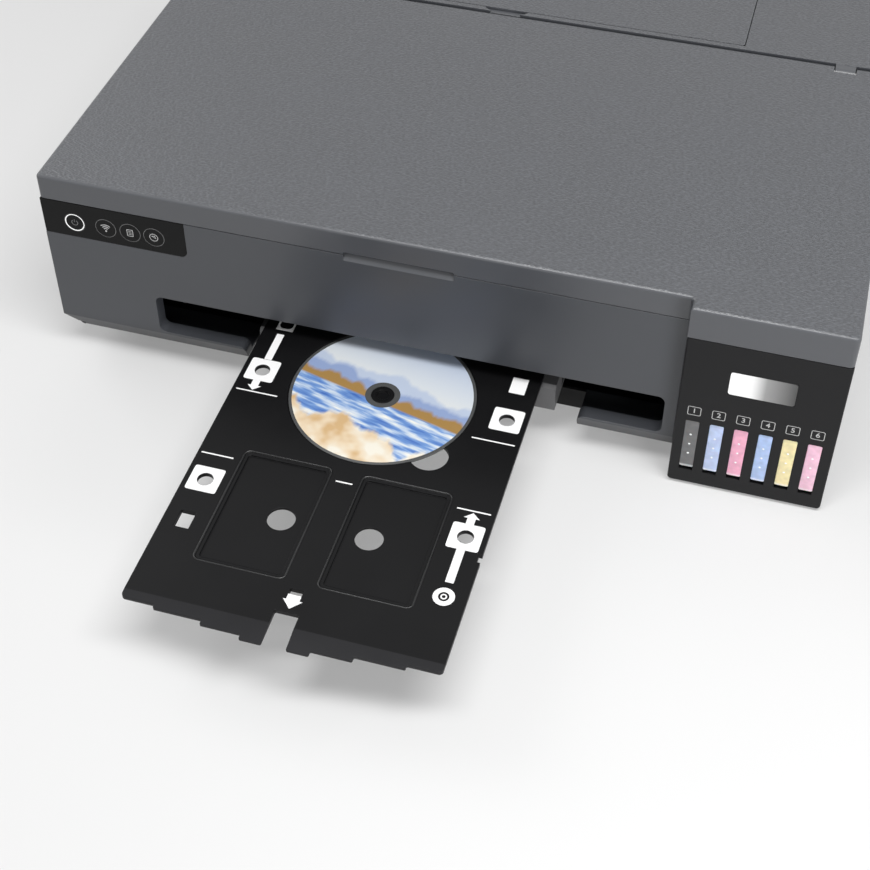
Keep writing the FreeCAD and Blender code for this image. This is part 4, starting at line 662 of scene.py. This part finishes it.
def dimpled(name, colour, roughness, flat_height):
    """Moulded plastic with dimples, as relief and as painted shade in their hollows and painted highlight on
    their rims, only at the height of the flat top. They are the cells of a grid that is turned, and then
    stretched to one size along X and another along Y."""
    cell_x, cell_y, cell_z, turned_by = 2.3 * mm, 1.25 * mm, 4 * mm, math.radians(38)
    top_from, top_to, depth = flat_height - 0.25 * mm, flat_height - 0.05 * mm, 0.3 * mm
    finish = moulded(name, colour, roughness, grain=0.35 * mm, relief=0.01 * mm, drift=0.03, edge=0.8 * mm,
                     settings={"Specular IOR Level": 0.75})
    tree = finish.node_tree
    shader = tree.nodes["Principled BSDF"]
    place = add(tree, "TexCoord").outputs["Object"]
    slanted = add(tree, "Mapping", {"Vector": place, "Rotation": (0, 0, turned_by),
                                    "Scale": (1 / cell_x, 1 / cell_y, 1 / cell_z)}).outputs[0]
    cells = add(tree, "TexVoronoi", {"Vector": slanted, "Scale": 1.0, "Randomness": 0.55}, feature="SMOOTH_F1")
    height = add(tree, "SeparateXYZ", {0: place}).outputs["Z"]
    on_top = add(tree, "MapRange", {"Value": height, "From Min": top_from, "From Max": top_to}).outputs[0]
    from_middle = cells.outputs["Distance"]
    hollow = add(tree, "MapRange", {"Value": from_middle, "From Min": 0.1, "From Max": 0.6}).outputs[0]
    relief = add(tree, "Math", {0: hollow, 1: on_top}, operation="MULTIPLY").outputs[0]
    # Painted shade and highlight: each dimple's hollow is painted darker and its rim paler.
    painted_dimple_shade = ramp(tree, hollow, [(0.0, grey(0.6)), (1.0, grey(1.4))])
    shade(finish, add(tree, "Mix", {0: on_top, 6: grey(1.0), 7: painted_dimple_shade}, data_type="RGBA").outputs[2])
    old_bump = [link.from_node for link in tree.links if link.to_socket == shader.inputs["Normal"]][0]
    dimples = add(tree, "Bump", {"Height": relief, "Distance": depth, "Strength": 1.0,
                                 "Normal": old_bump.outputs["Normal"]})
    tree.links.new(dimples.outputs["Normal"], shader.inputs["Normal"])
    return finish


lid_grey = dimpled("lid_grey", grey(0.068, 0.95, 1.0, 1.12), 0.34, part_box("lid")[1].z)
dress(lid_grey, "lid", "rear_deck", "paper_support")


# Disc tray.
# A flat black plate that slides into the slot, with a sloping lip in front that is painted paler as painted
# light, and a low bead round each card recess. Screen-printed in white: squares round its four sensor holes,
# arrows, fold lines and a target.

tray_black = moulded("tray_black", grey(0.0045, 1.0, 1.0, 1.1), 0.36, grain=0.4 * mm, relief=0.01 * mm,
                     drift=0.05, edge=0.9 * mm, settings={"Specular IOR Level": 0.16})
dress(tray_black, "disc_tray")
tray_low, tray_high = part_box("disc_tray")
# Painted light: the sloping lip in front is painted paler, where its slope would catch the lamps.
painted_lip_light = ((0.0, 3.8), (13.9, 3.2), (14.4, 1.0), (20.0, 1.0))
shade_along(tray_black, "Y", [(tray_low.y + reach * mm, tone) for reach, tone in painted_lip_light])
tray_middle = (tray_low.x + tray_high.x) / 2
panel_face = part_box("front_panel")[0].y
ink_rise = 0.04 * mm


def framed_hole(outer, inner):
    """A printed area round a hole: an outer and an inner outline of equal count, joined all round."""
    flat = [(outer, 0.0), (inner, 0.0), (inner, ink_rise), (outer, ink_rise)]
    rings = [np.column_stack([edge, np.full(len(edge), rise)]) for edge, rise in flat]
    return skin(np.stack(rings, 1), loop=True)


def box_mark(x, y):
    """A printed rectangle with rounded corners, from (low, high) pairs in millimetres."""
    outline = round_corners((x[1] - x[0]) * mm, (y[1] - y[0]) * mm, 0.3 * mm, 3)
    return flat_plate(outline + np.array([sum(x) / 2 * mm, sum(y) / 2 * mm]), ink_rise)


def arrow_mark(x, base, tip, half, stem_half, stem_end):
    """An arrow along Y: a stem of some half width from its end to the head's base, and a head to the tip."""
    outline = [(x - stem_half, stem_end), (x + stem_half, stem_end), (x + stem_half, base), (x + half, base),
               (x, tip), (x - half, base), (x - stem_half, base)]
    return flat_plate(np.array(outline) * mm, ink_rise)


def ring_mark(x, y, outer, inner):
    """A printed ring round a point, in millimetres."""
    edges = [arc((x * mm, y * mm), radius * mm, 0, 360, 48) for radius in (outer, inner)]
    return framed_hole(*edges)


# A square with soft corners: each spoke's reach is half a side, divided by the root, of a high power, of the
# sum of the spoke's own X and Y raised to that power.
half_side, hole_radius, squareness = 9.85 * mm, 5.05 * mm, 16
around = np.linspace(0, 2 * math.pi, 96, endpoint=False)
spokes = np.column_stack([np.cos(around), np.sin(around)])
reach = half_side / (np.abs(spokes) ** squareness).sum(1) ** (1 / squareness)
square, hole = spokes * reach[:, None], spokes * hole_radius
white_marks = []
for x, y in ((-81.6, -34.0), (81.6, -34.0), (-81.6, -132.3), (81.6, -132.3)):
    centre = np.array([x * mm, y * mm])
    white_marks.append(framed_hole(square + centre, hole + centre))
white_marks += [
    box_mark((-84.2, -79.2), (-23.9, 1.1)), arrow_mark(-81.7, -48.6, -52.8, 4.6, 2.5, -43.9),
    box_mark((-92.0, -64.1), (-54.6, -53.6)), box_mark((76.4, 86.7), (-9.7, 4.6)),
    box_mark((64.1, 91.7), (-54.5, -53.5)), box_mark((-92.3, -71.4), (-112.3, -111.3)),
    box_mark((-5.4, 5.3), (-112.3, -111.3)), box_mark((70.8, 91.7), (-112.5, -111.5)),
    arrow_mark(81.4, -117.8, -113.5, 4.9, 2.5, -122.4), box_mark((78.9, 84.0), (-167.3, -142.2)),
    ring_mark(81.2, -177.7, 6.4, 3.25), ring_mark(81.2, -177.7, 1.95, 1.1),
    arrow_mark(0.1, -203.7, -209.9, 5.9, 4.0, -200.0),
    framed_hole(round_corners(11.8 * mm, 12.0 * mm, 0.8 * mm, 12) + np.array([-80.9 * mm, 11.0 * mm]),
                round_corners(9.0 * mm, 8.4 * mm, 3.2 * mm, 12) + np.array([-80.9 * mm, 11.4 * mm])),
]


def lay(parts, x, y, z):
    """Puts flat parts on a level face, a hundredth of a millimetre sunk into it."""
    return [(points + np.array([x, y, z - sunk]), faces) for points, faces in parts]


make_piece("tray_marks", lay(white_marks, tray_middle, panel_face, tray_high.z),
           printed("mark_white", grey(0.9)), "disc_tray")


def card_bead(side):
    """The low bead round a card recess: from its inner to its outer outline it rises by half a sine wave."""
    width, length, corner, spread, height = 54.8, 86.9, 3.1, 3.0, 0.5 * mm
    inner, outer = (round_corners((width + more) * mm, (length + more) * mm, (corner + more / 2) * mm, 8)
                    for more in (0.0, spread))
    centre = np.array([side * 38.0 * mm, -147.0 * mm])
    share = np.linspace(0, 1, 9)[None, :, None]
    flat = inner[:, None] * (1 - share) + outer[:, None] * share + centre
    rise = np.broadcast_to(height * np.sin(math.pi * share), flat.shape[:2] + (1,))
    return skin(np.concatenate([flat, rise], 2), loop=True)


bead_black = moulded("bead_black", grey(0.0055, 1.0, 1.0, 1.1), 0.3, relief=0.004 * mm, drift=0.04,
                     settings={"Specular IOR Level": 0.45})
make_piece("card_beads", lay([card_bead(-1), card_bead(1)], tray_middle, panel_face, tray_high.z), bead_black,
           "disc_tray")


# Disc.
# A 120 mm disc of polycarbonate, dark grey and glossy where it isn't printed. The print covers the ring from
# near the hub to near the rim, and shows a lake below hills in blue, tan and orange.

disc_low, disc_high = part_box("disc")
disc_x, disc_y = (disc_low.x + disc_high.x) / 2, (disc_low.y + disc_high.y) / 2
print_radius, bare_radius = 58 * mm, 11.3 * mm
dress(moulded("disc_grey", grey(0.07, 0.97, 1.0, 1.0), 0.25, relief=0.001 * mm, drift=0.04, edge=0.2 * mm,
              settings={"Coat Weight": 0.6}), "disc")


def landscape():
    """A printed view, from the disc's own X and Y: a sky that pales downwards, three lines of hills, a tan
    shore, and water whose ripples are noise drawn out sideways."""
    varnish = {"Roughness": 0.3, "Coat Weight": 0.35, "Coat Roughness": 0.2}
    finish, tree, shader = blank_finish("disc_picture", varnish)
    place = add(tree, "TexCoord").outputs["Object"]
    centred = add(tree, "Mapping", {"Vector": place, "Location": (-disc_x, -disc_y, 0)}).outputs[0]
    turned = add(tree, "Mapping", {"Vector": centred, "Rotation": (0, 0, math.radians(14)),
                                   "Scale": (1 / print_radius, 1 / print_radius, 1)}).outputs[0]
    axes = add(tree, "SeparateXYZ", {0: turned})
    up = axes.outputs["Y"]
    across = axes.outputs["X"]
    sky_share = add(tree, "MapRange", {"Value": up, "From Min": -0.1, "From Max": 1.0}).outputs[0]
    colour = ramp(tree, sky_share, [(0.0, (0.78, 0.76, 0.7, 1)), (0.4, (0.62, 0.66, 0.7, 1)),
                                    (1.0, (0.42, 0.5, 0.66, 1))])
    for level, height, rough, seed, tone in (
            (0.30, 0.34, 1.6, 1.0, (0.46, 0.53, 0.66, 1)), (0.14, 0.26, 2.4, 5.0, (0.26, 0.34, 0.55, 1)),
            (0.02, 0.16, 4.0, 9.0, (0.34, 0.2, 0.06, 1))):
        ridge_line = add(tree, "CombineXYZ", {0: across, 1: seed}).outputs[0]
        ridge = add(tree, "TexNoise", {"Vector": ridge_line, "Scale": rough, "Detail": 5.0}).outputs["Fac"]
        hills = {0: ridge, 1: height * 2, 2: level - height}
        crest = add(tree, "Math", hills, operation="MULTIPLY_ADD").outputs[0]
        below = add(tree, "Math", {0: crest, 1: up}, operation="SUBTRACT").outputs[0]
        mask = add(tree, "MapRange", {"Value": below, "From Min": -0.03, "From Max": 0.03}).outputs[0]
        colour = add(tree, "Mix", {0: mask, 6: colour, 7: tone}, data_type="RGBA").outputs[2]
    ripple_place = add(tree, "Mapping", {"Vector": turned, "Scale": (2.2, 14.0, 1.0)}).outputs[0]
    ripples = add(tree, "TexNoise", {"Vector": ripple_place, "Scale": 1.0, "Detail": 4.0}).outputs["Fac"]
    water = ramp(tree, ripples, [(0.3, (0.04, 0.12, 0.42, 1)), (0.46, (0.16, 0.3, 0.6, 1)),
                                 (0.56, (0.5, 0.6, 0.74, 1)), (0.7, (0.85, 0.83, 0.76, 1))])
    water_mask = add(tree, "MapRange", {"Value": up, "From Min": -0.1, "From Max": -0.13}).outputs[0]
    colour = add(tree, "Mix", {0: water_mask, 6: colour, 7: water}, data_type="RGBA").outputs[2]
    shore_place = add(tree, "CombineXYZ", {0: across, 1: 3.0}).outputs[0]
    shore = add(tree, "TexNoise", {"Vector": shore_place, "Scale": 2.2, "Detail": 4.0}).outputs["Fac"]
    shore_edge = add(tree, "Math", {0: shore, 1: 0.9, 2: -1.02}, operation="MULTIPLY_ADD").outputs[0]
    below_shore = add(tree, "Math", {0: shore_edge, 1: up}, operation="SUBTRACT").outputs[0]
    shore_mask = add(tree, "MapRange", {"Value": below_shore, "From Min": -0.03, "From Max": 0.04}).outputs[0]
    grass = add(tree, "TexNoise", {"Vector": turned, "Scale": 3.5, "Detail": 2.0}).outputs["Fac"]
    land = ramp(tree, grass, [(0.35, (0.6, 0.4, 0.2, 1)), (0.5, (0.74, 0.6, 0.42, 1)),
                              (0.65, (0.8, 0.76, 0.66, 1))])
    colour = add(tree, "Mix", {0: shore_mask, 6: colour, 7: land}, data_type="RGBA").outputs[2]
    tree.links.new(colour, shader.inputs["Base Color"])
    return finish


picture = framed_hole(*(arc((0, 0), radius, 0, 360, 128) for radius in (print_radius, bare_radius)))
make_piece("disc_picture", lay([picture], disc_x, disc_y, disc_high.z), landscape(), "disc")


# Table, backdrop, light and camera.
# The printer stands on a plain white table. Three broad soft lamps stand over it, to the right of its front
# and behind its left side, and the room around fills the shadows evenly.

def seen_by_camera(tree):
    """One where a camera, mirror or see-through ray arrives, as the largest of the three rays' own marks: the
    table and the room are white there, behind the object."""
    rays = add(tree, "LightPath").outputs
    kinds = {0: rays["Is Camera Ray"], 1: rays["Is Glossy Ray"]}
    seen = add(tree, "Math", kinds, operation="MAXIMUM").outputs[0]
    return add(tree, "Math", {0: seen, 1: rays["Is Transmission Ray"]}, operation="MAXIMUM").outputs[0]


table_white, tree, shader = blank_finish("table_white", {"Roughness": 0.6, "Emission Color": grey(1.0)})
place = add(tree, "TexCoord").outputs["Object"]
cloud = add(tree, "TexNoise", {"Vector": place, "Scale": 1.5}).outputs["Fac"]
tree.links.new(ramp(tree, cloud, [(0.3, grey(0.485)), (0.7, grey(0.505))]), shader.inputs["Base Color"])
lit, half = 0.27, 6.0
glow = add(tree, "Math", {0: seen_by_camera(tree), 1: lit}, operation="MULTIPLY").outputs[0]
tree.links.new(glow, shader.inputs["Emission Strength"])
table_mesh = bpy.data.meshes.new("table")
table_mesh.from_pydata([(-half, -half, 0), (half, -half, 0), (half, half, 0), (-half, half, 0)], [],
                       [(0, 1, 2, 3)])
table_mesh.materials.append(table_white)
table = bpy.data.objects.new("table", table_mesh)
bpy.context.collection.objects.link(table)

room = bpy.data.worlds.new("room")
room.use_nodes = True
bpy.context.scene.world = room
air = room.node_tree
background = air.nodes["Background"]
background.inputs["Color"].default_value = grey(1.0)
fill = 0.15
strength = add(air, "MapRange", {"Value": seen_by_camera(air), "To Min": fill, "To Max": 1.0}).outputs[0]
air.links.new(strength, background.inputs["Strength"])

# Each lamp's name, place, point it is turned to, width, height, power, and whether glossy surfaces mirror it.
lamps = (("overhead_lamp", (0.3, -0.42, 1.4), (0.16, -0.03, 0.12), 1.4, 0.34, 21.0, True),
         ("front_lamp", (1.05, -0.95, 0.36), (0.3, 0, 0.08), 0.6, 0.35, 11.0, False),
         ("left_lamp", (-1.3, 0.25, 1.0), (-0.6, -0.1, 0), 1.0, 0.7, 6.5, True))
for name, place, target, width, height, power, mirrored in lamps:
    lamp = bpy.data.lights.new(name, "AREA")
    lamp.shape, lamp.size, lamp.size_y, lamp.energy = "RECTANGLE", width, height, power
    holder = bpy.data.objects.new(name, lamp)
    holder.visible_glossy = mirrored
    holder.location = place
    aim = holder.location.copy()
    aim -= type(aim)(target)
    holder.rotation_euler = aim.to_track_quat("Z", "Y").to_euler()
    bpy.context.collection.objects.link(holder)

lens = bpy.data.cameras.new("camera")
lens.lens, lens.sensor_width, lens.shift_y = 66.34, 36.0, -0.1
camera = bpy.data.objects.new("camera", lens)
camera.location = (0.2119, -0.7832, 0.7754)
camera.rotation_euler = (math.radians(46.46), 0, math.radians(16.08))
bpy.context.collection.objects.link(camera)
bpy.context.scene.camera = camera
bpy.context.scene.view_settings.view_transform = "Standard"
